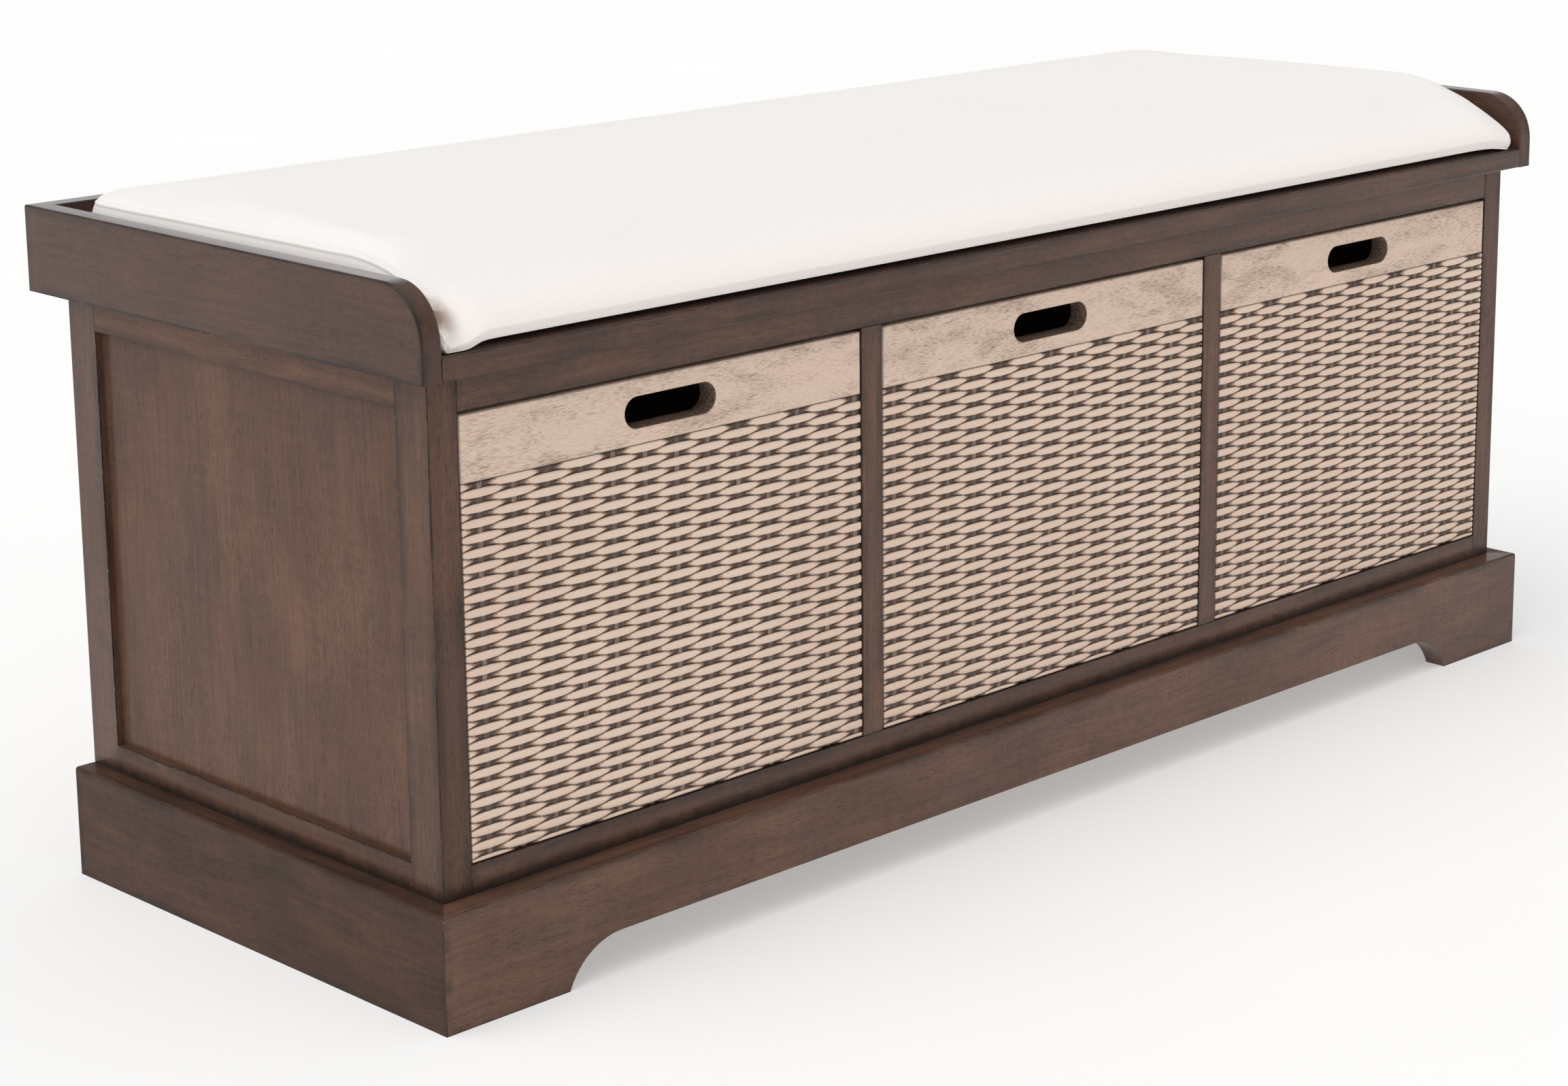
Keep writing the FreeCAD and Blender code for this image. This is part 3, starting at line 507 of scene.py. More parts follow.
def weave_grid(number, width, height):
    """Columns, heights and depths of the carved face, and the masks that its finish reads."""
    first_stake = BIN_STAKE_START[number]
    columns = weave_columns(width, first_stake)
    row_count = int(height / ROW_PITCH)
    bottom_part = height - row_count * ROW_PITCH
    shown = []
    for row in range(row_count + 1):
        over = np.cos(np.pi * (columns - first_stake) / STAKE_PITCH + np.pi * row)
        middle = (row - 0.5) * ROW_PITCH + bottom_part
        half = ROW_PITCH / 2 + ROW_WAVE * over
        for across in ACROSS_STRAND:
            level = middle + half * across
            if level.max() > ROW_CUT and level.min() < height - ROW_CUT:
                shown.append((level, *relief(columns, row, across, first_stake), row))
    levels, depths, tips, stakes, lines, rows = (np.array(values) for values in zip(*shown))
    levels = np.clip(levels, 0.0, height)
    levels[0] = 0.0
    for i in range(1, len(levels)):
        levels[i] = np.maximum(levels[i], levels[i - 1] + ROW_GAP)
    levels[-1] = height
    levels = np.minimum(levels, height)
    stake_number = (np.round((columns - first_stake) / STAKE_PITCH) + 2).astype(int)
    rng = np.random.default_rng(STAKE_SEED + number)
    worn_table = rng.random((rows.max() + 2, stake_number.max() + 2))
    worn = worn_table[rows[:, None], stake_number[None, :]]
    return columns, levels, depths, {"tip": tips / MM, "stake": stakes, "line": lines, "worn": worn}


def closed_board(front, back_centre):
    """Closes a grid of front points with sides and a flat back: vertices, front and other faces."""
    count_z, count_x = front.shape[:2]
    front = front.reshape(-1, 3)
    index = np.arange(len(front)).reshape(count_z, count_x)
    corners = [index[:-1, :-1], index[:-1, 1:], index[1:, 1:], index[1:, :-1]]
    quads = np.stack(corners, axis=-1).reshape(-1, 4)
    border = np.concatenate([index[0, :], index[1:, -1], index[-1, -2::-1], index[-2:0:-1, 0]])
    back = front[border].copy()
    back[:, 1] = back_centre[1]
    back_index = np.arange(len(border)) + len(front)
    centre = np.full(len(border), len(front) + len(border))
    following = np.roll(np.arange(len(border)), -1)
    sides = np.stack([border, back_index, back_index[following], border[following]], axis=-1)
    fan = np.stack([back_index, centre, back_index[following]], axis=-1)
    vertices = np.concatenate([front, back, [back_centre]])
    return vertices.tolist(), quads.tolist(), sides.tolist() + fan.tolist()


def make_weave(number, low, high):
    """The carved field under the header: one closed board with strands and stakes in its face."""
    width = high.x - low.x
    height = high.z - low.z - HEADER_HEIGHT
    columns, levels, depths, masks = weave_grid(number, width, height)
    grid_x = low.x + np.tile(columns, (len(levels), 1))
    front = np.stack([grid_x, low.y + depths, low.z + levels], axis=-1)
    back_centre = ((low.x + high.x) / 2, high.y, low.z + height / 2)
    vertices, carved, plain = closed_board(front, back_centre)
    mesh = bpy.data.meshes.new(f"bin_{number}_weave")
    mesh.from_pydata(vertices, [], carved + plain)
    mesh.update()
    mesh.polygons.foreach_set("use_smooth", np.arange(len(mesh.polygons)) < len(carved))
    for name, values in masks.items():
        flat = np.concatenate([values.ravel(), np.zeros(len(vertices) - values.size)])
        layer = mesh.attributes.new(name, "FLOAT", "POINT")
        layer.data.foreach_set("value", flat.astype(np.float32))
    piece = bpy.data.objects.new(f"bin_{number}_weave", mesh)
    bpy.context.scene.collection.objects.link(piece)
    return piece


def weave_finish(number):
    """Washed strands whose tips are brushed with brown, over dark stakes."""
    paint = Shader(f"carved_weave_{number}")
    place = paint.place()
    tip = paint.attribute("tip")
    stake = paint.attribute("stake")
    line = paint.attribute("line")
    worn = paint.attribute("worn")
    ragged = paint.noise(along_grain(paint, "x", number, 420, 1500), 1.0, detail=3.0)
    drift = paint.noise(place, 9.0, detail=2.0)
    grain = paint.noise(along_grain(paint, "x", number + 3, 300, 2600), 1.0, detail=2.0)
    light = paint.mix(paint.fit(drift, 0.35, 0.65), WEAVE_LIGHT, WASH_PINK)
    light = paint.mix(paint.fit(grain, 0.55, 0.8, 0, 0.22), light, WASH_BROWN)
    reach = paint.calc("ADD", tip, paint.fit(ragged, 0.3, 0.7, -1.3, 1.3))
    colour = paint.mix(paint.fit(reach, -3.4, 0.5, smooth=True), light, WEAVE_BROWN)
    streaks = paint.noise(along_grain(paint, "z", number + 6, 260, 1700), 1.0, detail=2.0)
    dark = paint.mix(paint.fit(streaks, 0.45, 0.72, 0, 0.55), WEAVE_DARK, WEAVE_BROWN)
    colour = paint.mix(paint.fit(reach, 0.0, 2.4, smooth=True), colour, dark)
    stake_colour = paint.mix(paint.fit(worn, 0.45, 1.0, 0.25, 0.85), WEAVE_DARK, STAKE_WORN)
    stake_colour = paint.mix(paint.fit(streaks, 0.40, 0.62, 0, 0.8), stake_colour, WEAVE_DARK)
    on_stake = paint.calc("MULTIPLY", paint.fit(stake, 0.4, 0.6), paint.fit(tip, 0.5, 2.0))
    colour = paint.mix(on_stake, colour, stake_colour)
    colour = paint.mix(paint.fit(line, 0.80, 1.0, 0, 0.5), colour, WEAVE_LINE)
    return paint.surface(
        colour=colour,
        roughness=paint.fit(ragged, 0.3, 0.7, 0.50, 0.68),
        specular=0.4,
        normal=paint.bump(grain, 0.05 * MM),
    )


def header_finish(number, box):
    """Whitewashed wood with short dark pores that gather in patches."""
    paint = Shader(f"washed_header_{number}")
    seed = 3.1 * number
    pores = paint.noise(along_grain(paint, "x", seed, 170, 2700, True), 1.0, detail=2.0)
    patch = paint.noise(along_grain(paint, "x", seed + 1, 17, 50), 1.0, detail=4.0, bend=1.2)
    tone = paint.noise(along_grain(paint, "x", seed + 2, 14, 60, True), 1.0, detail=4.0)
    colour = paint.mix(paint.fit(tone, 0.35, 0.62), WASH, WASH_PINK)
    colour = paint.mix(paint.fit(patch, 0.46, 0.74, 0.0, 0.55, smooth=True), colour, WASH_GREY)
    patches = paint.fit(patch, 0.36, 0.64, 0.20, 0.72)
    pore_mask = paint.calc("MULTIPLY", paint.fit(pores, 0.52, 0.61), patches)
    colour = paint.mix(pore_mask, colour, WASH_BROWN)
    distance = edge_distance(paint, *box)
    at_edge = paint.fit(distance, 0.15 * MM, 0.7 * MM, 0.6, 0.0, smooth=True)
    colour = paint.mix(at_edge, colour, WASH_BROWN)
    from_weave = paint.calc("SUBTRACT", paint.split(paint.place())[2], box[0].z)
    colour = paint.mix(paint.fit(from_weave, 0.4 * MM, 1.1 * MM, 0.85, 0.0), colour, WEAVE_LINE)
    return paint.surface(
        colour=colour,
        roughness=0.55,
        specular=0.4,
        normal=paint.bump(paint.calc("MULTIPLY", pore_mask, -1.0), 0.04 * MM),
    )


def slot_finish():
    """The raw, brown-glazed edge inside a finger slot."""
    paint = Shader("slot_edge")
    speck = paint.noise(paint.place(), 900.0, detail=2.0)
    colour = paint.mix(paint.fit(speck, 0.40, 0.66), SLOT_DARK, SLOT_SPECK)
    return paint.surface(colour, 0.7, normal=paint.bump(speck, 0.15 * MM))


def loop_curve(curve, points):
    spline = curve.splines.new("POLY")
    spline.points.add(len(points) - 1)
    for point, (x, z) in zip(spline.points, points):
        point.co = (x, z, 0, 1)
    spline.use_cyclic_u = True


def make_header(number, low, high):
    """The plain board over the weave, with a finger slot through it and softened edges."""
    curve = bpy.data.curves.new(f"bin_{number}_header", "CURVE")
    curve.dimensions = "2D"
    curve.fill_mode = "BOTH"
    bottom = high.z - HEADER_HEIGHT
    loop_curve(curve, [(low.x, bottom), (high.x, bottom), (high.x, high.z), (low.x, high.z)])
    radius = SLOT_HEIGHT / 2
    reach = SLOT_LENGTH / 2 - radius
    centre_x = (low.x + high.x) / 2
    centre_z = high.z - SLOT_DROP
    outline = []
    for side in (1, -1):
        for step in range(SLOT_ARC_STEPS + 1):
            angle = -math.pi * (step / SLOT_ARC_STEPS - 0.5)
            x = centre_x + side * (reach + radius * math.cos(angle))
            outline.append((x, centre_z + side * radius * math.sin(angle)))
    loop_curve(curve, outline)
    thickness = high.y - low.y
    curve.extrude = thickness / 2 - HEADER_ROUND
    curve.bevel_depth = HEADER_ROUND
    curve.bevel_resolution = 3
    curve.offset = -HEADER_ROUND
    maker = bpy.data.objects.new("header_maker", curve)
    bpy.context.scene.collection.objects.link(maker)
    bpy.context.view_layer.update()
    mesh = bpy.data.meshes.new_from_object(maker.evaluated_get(bpy.context.evaluated_depsgraph_get()))
    bpy.data.objects.remove(maker)
    mesh.name = f"bin_{number}_header"
    middle_y = (low.y + high.y) / 2
    for vertex in mesh.vertices:
        x, z, depth = vertex.co
        vertex.co = (x, middle_y + depth, z)
    work = bmesh.new()
    work.from_mesh(mesh)
    bmesh.ops.remove_doubles(work, verts=work.verts, dist=0.01 * MM)
    bmesh.ops.recalc_face_normals(work, faces=work.faces)
    for face in work.faces:
        middle = face.calc_center_median()
        near_slot = abs(middle.x - centre_x) < reach + radius + HEADER_ROUND / 2
        near_slot = near_slot and abs(middle.z - centre_z) < radius + HEADER_ROUND / 2
        face.smooth = abs(face.normal.y) < 0.99
        face.material_index = 1 if near_slot and abs(face.normal.y) < 0.7 else 0
    work.to_mesh(mesh)
    work.free()
    piece = bpy.data.objects.new(f"bin_{number}_header", mesh)
    bpy.context.scene.collection.objects.link(piece)
    return piece


def make_bin_front(number, slot_paint):
    node = f"bin_{number}_front"
    low, high = (Vector(p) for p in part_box(node))
    header_low = Vector((low.x, low.y, high.z - HEADER_HEIGHT))
    header = make_header(number, low, high)
    header.data.materials.append(header_finish(number, (header_low, high)))
    header.data.materials.append(slot_paint)
    weave = make_weave(number, low, high)
    weave.data.materials.append(weave_finish(number))
    for piece in (header, weave):
        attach(piece, f"bin_{number}")
        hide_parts(node)


# ----------------------------------------------------------------------------------------- cushion

SEAM_DROP = 4.0 * MM  # of the seam between side walls and top panel, below the top of the box
CROWN = 3.4 * MM  # how far the middle of the top stands above that seam
BACK_CROWN = 1.6 * MM
CROWN_RUN = 34 * MM
LIP_RISE = 7.2 * MM  # of the front edge above the bottom of the box
LIP_HALF = 2.6 * MM
LIP_RUN = 26 * MM  # depth over which the underside comes down from the front edge
LIP_SAG = 4.2 * MM  # how far the left front corner hangs down to the seat
SAG_START = 30 * MM  # from the left side; the sag is full nearer than SAG_END
SAG_END = 20 * MM
RIGHT_SAG = 3.0 * MM
RIGHT_SAG_RUN = 40 * MM
RIGHT_THICKER = 1.5 * MM  # the front edge is thicker at the right
FALL_RUN = 100 * MM  # depth over which the top curves down to the front edge
FALL_POWER = 1.6
RIGHT_FRONT_INSET = 3 * MM
INSET_RUN = 0.2  # metres from the right side
BACK_CORNER = 21 * MM
RIGHT_FRONT_CORNER = 8 * MM
LEFT_FRONT_CORNER = 4 * MM
START_GAP = 2.2 * MM  # left free for the cloth solver to fill
FRONT_START_GAP = 1.0 * MM
BASE_GAP = 0.5 * MM
BASE_INSET = 3.0 * MM  # how far the walls lean in at their foot
PLAN_STEPS = (8.2 * MM, 7.4 * MM)  # along the bench and across it
SIDE_SHOULDER = 6.0 * MM  # how far the top panel's edge lies inside the side walls
BACK_SHOULDER = 1.5 * MM
SHOULDER_RUN = 32 * MM
SHOULDER_HEIGHT = 25 * MM  # where the cushion is thinner, its shoulder is smaller
EDGE_STEPS = np.array([0, 1.1, 2.4, 4.2, 6.6, 9.8, 14.0, 19.5, 26.5]) * MM
WALL_SHARES = (0.0, 0.2, 0.4, 0.58, 0.72, 0.82, 0.88, 0.905, 0.93, 0.955, 1.0)
WALL_LEVELS = len(WALL_SHARES) - 1
SEAM_LEVEL = 8
WALL_SWELL = 6.0 * MM
LIP_SWELL = 0.4 * MM
SWELL_SHARE = 0.4  # of the wall's height, where the wall is low
SEAM_PUSH = 0.85 * MM
BESIDE_SEAM_PUSH = -0.25 * MM
CLOTH_FRAMES = 20
CLOTH_CAP = 4 * MM  # the solver moves no point further than this
SWELL_SMOOTHING = 12
SIDE_ROOM = 0.9 * MM  # how far the cushion may stand past its CAD box
DEPTH_ROOM = 2 * MM
TOP_ROOM = 2.5 * MM


def graded(start, end, step):
    """Positions from start to end, close together at both ends."""
    inner = np.arange(start + EDGE_STEPS[-1], end - EDGE_STEPS[-1], step)[1:]
    return np.concatenate([start + EDGE_STEPS, inner, (end - EDGE_STEPS)[::-1]])


def corner_round(x, y, corner, radius):
    """Pulls the square corner of a plan, given as (x, y, x sign, y sign), to an arc."""
    corner_x, corner_y, sign_x, sign_y = corner
    a = np.maximum(sign_x * (x - corner_x) + radius, 0.0)
    b = np.maximum(sign_y * (y - corner_y) + radius, 0.0)
    reach = np.hypot(a, b)
    ratio = np.where((a > 0) & (b > 0), np.maximum(a, b) / np.maximum(reach, 1e-9), 1.0)
    return x - sign_x * a * (1 - ratio), y - sign_y * b * (1 - ratio)


def cushion_top(x, y, low, high):
    """Height of the top panel over a point of the plan."""
    front = (y - low.y) / FALL_RUN
    fall = (1 - np.clip(1 - front, 0, 1) ** FALL_POWER) ** (1 / FALL_POWER)
    sag = LIP_SAG * (1 - smoothstep(SAG_END, SAG_START, x - low.x))
    sag = sag + RIGHT_SAG * (1 - smoothstep(0.0, RIGHT_SAG_RUN, high.x - x))
    sag = sag * np.clip(1 - front * 2.5, 0, 1)
    to_side = np.minimum(x - low.x, high.x - x)
    to_back = high.y - y
    side_crown = CROWN * (1 - np.clip(to_side / CROWN_RUN, 0, 1)) ** 2
    back_crown = BACK_CROWN * (1 - np.clip(to_back / CROWN_RUN, 0, 1)) ** 2
    lip_height = low.z + LIP_RISE
    full = high.z - SEAM_DROP + CROWN - lip_height
    return lip_height + full * fall - sag - np.minimum(side_crown + back_crown, 2.0 * CROWN)


def drawn_in(shoulder, distance):
    """How far the top panel is drawn in at a distance from its own edge."""
    return shoulder * np.clip(1 - distance / SHOULDER_RUN, 0, 1)


def cushion_plan(low, high):
    """Plan of the cushion's points: x and y of each, with the corners of the plan rounded."""
    xs = graded(low.x + START_GAP, high.x - START_GAP, PLAN_STEPS[0])
    ys = graded(low.y + FRONT_START_GAP, high.y - START_GAP, PLAN_STEPS[1])
    plan_x, plan_y = np.meshgrid(xs, ys, indexing="ij")
    front_share = np.clip(1 - (plan_y - low.y) / FALL_RUN, 0, 1) ** 1.5
    right_share = np.clip((plan_x - (high.x - INSET_RUN)) / INSET_RUN, 0, 1)
    plan_x = plan_x - RIGHT_FRONT_INSET * front_share * right_share
    right_front = high.x - START_GAP - RIGHT_FRONT_INSET
    for corner, radius in (
        ((xs[0], ys[-1], -1, 1), BACK_CORNER),
        ((xs[-1], ys[-1], 1, 1), BACK_CORNER),
        ((right_front, ys[0], 1, -1), RIGHT_FRONT_CORNER),
        ((xs[0], ys[0], -1, -1), LEFT_FRONT_CORNER),
    ):
        plan_x, plan_y = corner_round(plan_x, plan_y, corner, radius)
    return xs, ys, plan_x, plan_y


def cushion_bottom(plan_x, plan_y, front_y, low, high):
    """Height of the underside, which rises to a thin lip at the front edge."""
    lip = np.clip(1 - (plan_y - low.y) / LIP_RUN, 0, 1) ** 2
    lip_under = cushion_top(plan_x, np.full_like(plan_y, front_y), low, high) - 2 * LIP_HALF
    lip_under = lip_under - RIGHT_THICKER * smoothstep(60 * MM, 15 * MM, high.x - plan_x)
    base = low.z + BASE_GAP
    return np.maximum(base + (lip_under - base) * lip, base)


def rim_of(count_x, count_y):
    """The grid places round the edge of a plan, in order, from the left front corner."""
    rim = [(i, 0) for i in range(count_x)]
    rim += [(count_x - 1, j) for j in range(1, count_y)]
    rim += [(i, count_y - 1) for i in range(count_x - 2, -1, -1)]
    rim += [(0, j) for j in range(count_y - 2, 0, -1)]
    return rim


def cushion_points(low, high):
    """The cushion's points, and their numbers by (i, j, level); level 0 is the underside."""
    xs, ys, plan_x, plan_y = cushion_plan(low, high)
    count_x, count_y = plan_x.shape
    top = cushion_top(plan_x, plan_y, low, high)
    bottom = cushion_bottom(plan_x, plan_y, ys[0], low, high)
    tall = np.clip((top - bottom) / SHOULDER_HEIGHT, 0, 1)
    left = drawn_in(SIDE_SHOULDER, plan_x - xs[0])
    right = drawn_in(SIDE_SHOULDER, xs[-1] - plan_x)
    top_x = plan_x + tall * (left - right)
    top_y = plan_y - tall * drawn_in(BACK_SHOULDER, ys[-1] - plan_y)

    numbers = {}
    points = []

    def keep(key, point):
        numbers[key] = len(points)
        points.append(point)

    for i in range(count_x):
        for j in range(count_y):
            keep((i, j, WALL_LEVELS), (top_x[i, j], top_y[i, j], top[i, j]))
            side = BASE_INSET * ((i == 0) - (i == count_x - 1))
            back = BASE_INSET * ((j == 0) - (j == count_y - 1))
            keep((i, j, 0), (plan_x[i, j] + side, plan_y[i, j] + back, bottom[i, j]))
    for i, j in rim_of(count_x, count_y):
        head = np.array(points[numbers[(i, j, WALL_LEVELS)]])
        foot = np.array(points[numbers[(i, j, 0)]])
        out = np.array([(i == count_x - 1) - (i == 0), (j == count_y - 1) - (j == 0), 0.0])
        swell = LIP_SWELL if j == 0 else min(SWELL_SHARE * (head[2] - foot[2]), WALL_SWELL)
        for level in range(1, WALL_LEVELS):
            share = WALL_SHARES[level]
            bulge = swell * math.sin(math.pi * share) ** 0.6
            keep((i, j, level), tuple(foot + (head - foot) * share + out * bulge))
    return points, numbers, count_x, count_y


def cushion_grid(low, high):
    """A closed box of quads in the shape of the cushion.

    Returns its points, its faces, and the numbers of the points on the seam, beside the seam and
    on the underside.
    """
    points, numbers, count_x, count_y = cushion_points(low, high)
    faces = []
    for i in range(count_x - 1):
        for j in range(count_y - 1):
            ring = ((i, j), (i + 1, j), (i + 1, j + 1), (i, j + 1))
            faces.append([numbers[(*corner, WALL_LEVELS)] for corner in ring])
            faces.append([numbers[(*corner, 0)] for corner in reversed(ring)])
    rim = rim_of(count_x, count_y)
    for here, there in zip(rim, rim[1:] + rim[:1]):
        for level in range(WALL_LEVELS):
            ring = ((*here, level), (*there, level), (*there, level + 1), (*here, level + 1))
            faces.append([numbers[key] for key in ring])
    sewn = [place for place in rim if place[1] > 1]
    seam = [numbers[(*place, SEAM_LEVEL)] for place in sewn]
    beside = [numbers[(*place, SEAM_LEVEL + step)] for place in sewn for step in (-1, 1)]
    under = [numbers[(i, j, 0)] for i in range(count_x) for j in range(count_y)]
    return points, faces, seam, beside, under


def inflate(piece, pinned):
    """Swells a closed mesh with Blender's cloth solver and caps how far each point may move."""
    scene = bpy.context.scene
    group = piece.vertex_groups.new(name="pinned")
    group.add(pinned, 1.0, "REPLACE")
    cloth = piece.modifiers.new("cloth", "CLOTH")
    settings = cloth.settings
    settings.quality = 6
    settings.mass = 0.3
    settings.tension_stiffness = 25
    settings.compression_stiffness = 25
    settings.shear_stiffness = 10
    settings.bending_stiffness = 1.2
    settings.use_pressure = True
    settings.uniform_pressure_force = 4.0
    settings.effector_weights.gravity = 0.0
    settings.vertex_group_mass = "pinned"
    cloth.point_cache.frame_start = 1
    cloth.point_cache.frame_end = CLOTH_FRAMES
    start = np.empty(len(piece.data.vertices) * 3)
    piece.data.vertices.foreach_get("co", start)
    for frame_number in range(1, CLOTH_FRAMES + 1):
        scene.frame_set(frame_number)
    settled = piece.evaluated_get(bpy.context.evaluated_depsgraph_get()).to_mesh()
    moved = np.empty(len(start))
    settled.vertices.foreach_get("co", moved)
    piece.modifiers.remove(cloth)
    piece.vertex_groups.remove(group)
    scene.frame_set(1)
    start = start.reshape(-1, 3)
    move = moved.reshape(-1, 3) - start
    edges = np.empty(len(piece.data.edges) * 2, int)
    piece.data.edges.foreach_get("vertices", edges)
    first, second = edges.reshape(-1, 2).T
    for _ in range(SWELL_SMOOTHING):
        total = np.zeros_like(move)
        count = np.zeros(len(move))
        for here, there in ((first, second), (second, first)):
            np.add.at(total, here, move[there])
            np.add.at(count, here, 1)
        move = 0.5 * move + 0.5 * total / count[:, None]
    from_front = start[:, 1:2] - start[:, 1].min()
    move = move * smoothstep(2 * MM, 60 * MM, from_front)
    length = np.linalg.norm(move, axis=1, keepdims=True)
    move = move * np.minimum(1.0, CLOTH_CAP / np.maximum(length, 1e-9))
    return start + move


def make_cushion():
    low, high = (Vector(p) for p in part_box("cushion"))
    vertices, faces, seam, beside, under = cushion_grid(low, high)
    mesh = bpy.data.meshes.new("cushion_pad")
    mesh.from_pydata(vertices, [], faces)
    mesh.update()
    piece = bpy.data.objects.new("cushion_pad", mesh)
    bpy.context.scene.collection.objects.link(piece)
    shape = np.array(vertices)
    shape = inflate(piece, under)
    normals = np.empty(len(shape) * 3)
    mesh.vertices.foreach_set("co", shape.ravel())
    mesh.update()
    mesh.vertex_normals.foreach_get("vector", normals)
    normals = normals.reshape(-1, 3)
    for ring, push in ((seam, SEAM_PUSH), (beside, BESIDE_SEAM_PUSH)):
        shape[ring] += normals[ring] * push
    shape[:, 0] = np.clip(shape[:, 0], low.x - SIDE_ROOM, high.x + SIDE_ROOM)
    shape[:, 1] = np.clip(shape[:, 1], low.y - DEPTH_ROOM, high.y + DEPTH_ROOM)
    shape[:, 2] = np.clip(shape[:, 2], low.z + 0.1 * MM, high.z + TOP_ROOM)
    mesh.vertices.foreach_set("co", shape.ravel())
    mesh.polygons.foreach_set("use_smooth", np.ones(len(mesh.polygons), bool))
    mesh.update()
    divide = piece.modifiers.new("subdivision", "SUBSURF")
    divide.levels = 1
    divide.render_levels = 1
    mesh.materials.append(canvas_finish(low, high))
    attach(piece, "seat_cushion")
    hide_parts("cushion")


CANVAS = (0.865, 0.850, 0.838, 1)
CANVAS_WARM = (0.86, 0.828, 0.808, 1)
# painted light: lighter, pinker canvas where the front falls away from the top
CANVAS_FRONT_LIT = (0.93, 0.875, 0.845, 1)
# painted shadow and reflection of the tray side's brown wood, by the left arm
CANVAS_TRAY_SHADOW = (0.30, 0.21, 0.15, 1)
CANVAS_FLECK = (0.30, 0.23, 0.17, 1)
TRAY_SHADOW_FROM_CORNER = Vector((7, 17, 25.2)) * MM  # from the lowest left front corner of the box
TRAY_SHADOW_SQUEEZE = (72.0, 44.0, 25.0)  # one over its half sizes in metres


def canvas_finish(low, high):
    """Undyed cotton canvas: plain weave, sparse seed flecks, painted light, shadow and reflection."""
    paint = Shader("cotton_canvas")
    place = paint.place()
    x, _, z = paint.split(place)
    warp = paint.noise(paint.vector("MULTIPLY", place, (2300, 230, 230)), 1.0, detail=2.0)
    weft = paint.noise(paint.vector("MULTIPLY", place, (230, 2300, 2300)), 1.0, detail=2.0)
    thread = paint.calc("ADD", warp, weft)
    drift = paint.noise(place, 5.0, detail=3.0)
    colour = paint.mix(paint.fit(drift, 0.35, 0.7, 0, 0.45, smooth=True), CANVAS, CANVAS_WARM)
    # Painted reflection: the canvas is painted warmer near its left end, beside the tray side's wood.
    to_left = paint.calc("SUBTRACT", x, low.x)
    edge = paint.fit(to_left, 10 * MM, 55 * MM, 0.55, 0.0, smooth=True)
    edge = paint.calc("MULTIPLY", edge, paint.fit(paint.noise(place, 26.0), 0.35, 0.65, 0.25, 1.0))
    colour = paint.mix(edge, colour, CANVAS_WARM)
    # Painted light: the canvas is painted lighter and pinker down the front, where it falls away from
    # the top.
    painted_front_light = paint.fit(z, high.z - SEAM_DROP, low.z + LIP_RISE + 2 * MM, 0.0, 0.95)
    colour = paint.mix(painted_front_light, colour, CANVAS_FRONT_LIT)
    colour = paint.tint(colour, paint.fit(thread, 0.75, 1.25, 0.955, 1.0))
    # Painted shadow and reflection: a brown mark on the canvas beside the left tray side's arc.
    middle = tuple(low + TRAY_SHADOW_FROM_CORNER)
    away = paint.vector("SUBTRACT", place, middle)
    away = paint.vector("MULTIPLY", away, TRAY_SHADOW_SQUEEZE)
    reach = paint.add("ShaderNodeVectorMath", away, operation="LENGTH").outputs["Value"]
    shadow_break = paint.noise(place, 75.0, detail=3.0)
    near = paint.fit(reach, 0.1, 1.1, 1.0, 0.0, smooth=True)
    painted_tray_shadow = paint.calc("MULTIPLY", near, paint.fit(shadow_break, 0.30, 0.55))
    colour = paint.mix(painted_tray_shadow, colour, CANVAS_TRAY_SHADOW)
    distance, pick = paint.cells(place, 160.0)
    size = paint.fit(pick, 0.72, 1.0, 0.0, 0.075)
    fleck = paint.calc("LESS_THAN", distance, size)
    colour = paint.mix(paint.calc("MULTIPLY", fleck, 0.32), colour, CANVAS_FLECK)
    return paint.surface(
        colour=colour,
        roughness=0.92,
        specular=0.15,
        normal=paint.bump(thread, 0.05 * MM),
        sheen=0.05,
    )


# ------------------------------------------------------------------------------ finishes on the CAD

GRAIN_UP = ("post", "side_panel", "divider")
ON_LEDGE = ("post", "bottom_rail")  # boards that stand on the plinth's ledge
TRAY_ROUND = 34 * MM  # radius of the front corners of the tray sides
JOINT_PAST = 5 * MM
INNER_LIGHT = (0.50, 0.35, 0.22, 1)
INNER_DARK = (0.34, 0.22, 0.13, 1)
BIN_LIGHT = (0.60, 0.46, 0.36, 1)
BIN_DARK = (0.44, 0.32, 0.24, 1)
COMMON_LOOK = (1.0, 1.0)
BOARD_LOOK = {  # by how a board's name starts: how light it is, how thick its varnish is
    "plinth_left": (0.62, 0.3),
    "plinth_right": (0.62, 0.3),
    "plinth_front": (1.16, 1.0),
    "divider": (1.18, 1.0),
    "front_top_rail": (1.12, 1.0),
    "front_bottom_rail": (1.06, 1.0),
    "side_top_rail": (1.24, 0.6),
    "side_bottom_rail": (1.0, 0.5),
    "side_panel": (1.10, 0.6),
    "tray_side": (0.77, 0.9),
    "seat_board": (0.90, 1.0),
    "front_post": (1.0, 0.75),
}
BORED = ("front_bottom_rail", "side_bottom_rail", "back_top_rail", "floor_panel")  # not bevelled
ARRIS = 0.55 * MM  # how much the edges of the boards are softened


def longest_axis(low, high):
    sizes = [b - a for a, b in zip(low, high)]
    return "xyz"[sizes.index(max(sizes))]


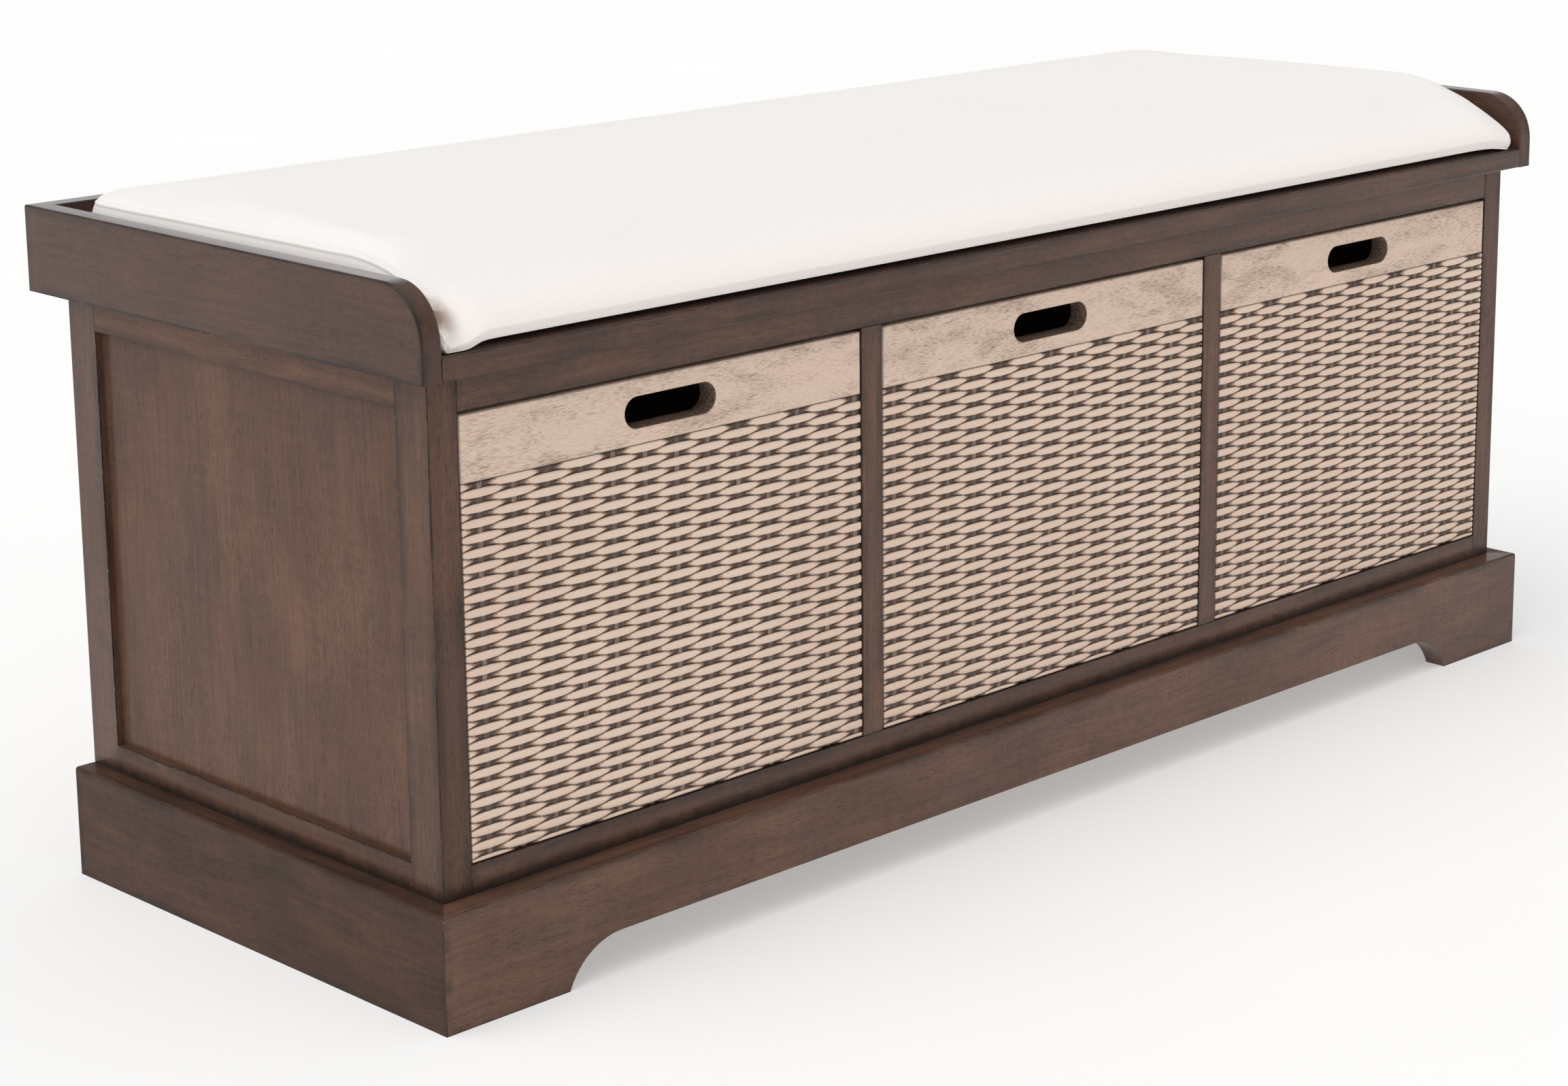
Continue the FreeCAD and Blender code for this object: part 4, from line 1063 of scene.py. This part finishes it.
def soften_edges(piece):
    """Rounds the sharp edges of a CAD board with modifiers, which leave its mesh as it is."""
    weld = piece.modifiers.new("weld", "WELD")
    weld.merge_threshold = 0.01 * MM
    bevel = piece.modifiers.new("arris", "BEVEL")
    bevel.width = ARRIS
    bevel.segments = 2
    bevel.limit_method = "ANGLE"
    bevel.angle_limit = math.radians(40)
    piece.modifiers.new("shading", "WEIGHTED_NORMAL")


def painted_box(name, low, high):
    """The box whose edges carry the dark line; joints that the paint runs over are left out."""
    low = Vector(low)
    high = Vector(high)
    if name in ("seat_board", "tray_side_right"):
        low.x -= JOINT_PAST
    if name in ("seat_board", "tray_side_left"):
        high.x += JOINT_PAST
    return low, high


def board_finish(name, axis, seed):
    low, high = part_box(name)
    corner = None
    if name.startswith("tray_side"):
        corner = (low[1] + TRAY_ROUND, high[2] - TRAY_ROUND, TRAY_ROUND)
    look = next((v for word, v in BOARD_LOOK.items() if name.startswith(word)), COMMON_LOOK)
    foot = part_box("plinth_front_board")[1][2] if any(word in name for word in ON_LEDGE) else None
    on_tray = name.startswith("tray")
    box = painted_box(name, low, high)
    return stained_wood(f"stain_{name}", box, axis, seed, look, corner, foot, on_tray)


def node_finish(name, slot, seed):
    """The material of one CAD node, by the slot that the record gives it."""
    axis = "z" if any(word in name for word in GRAIN_UP) else longest_axis(*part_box(name))
    if slot == "stained_wood":
        return board_finish(name, axis, seed)
    if slot == "inner_wood":
        return plain_wood(f"inner_{name}", axis, seed, INNER_LIGHT, INNER_DARK)
    if slot == "screw_steel":
        return zinc_plate(f"zinc_{name}")
    if slot == "glide_nylon":
        return nylon(f"nylon_{name}")
    return plain_wood(f"wood_{name}", axis, seed, BIN_LIGHT, BIN_DARK)


def finish_frame():
    slots = {s["node"]: s["material_slot"] for s in frame["record"]["subparts"]}
    for seed, (name, piece) in enumerate(sorted(nodes.items())):
        if slots[name] == "stained_wood" and not name.startswith(BORED):
            soften_edges(piece)
        piece.data.materials.clear()
        piece.data.materials.append(node_finish(name, slots[name], seed))


make_camera()
make_light()
make_floor()
finish_frame()
slot_paint = slot_finish()
for number in BIN_STAKE_START:
    make_bin_front(number, slot_paint)
make_cushion()
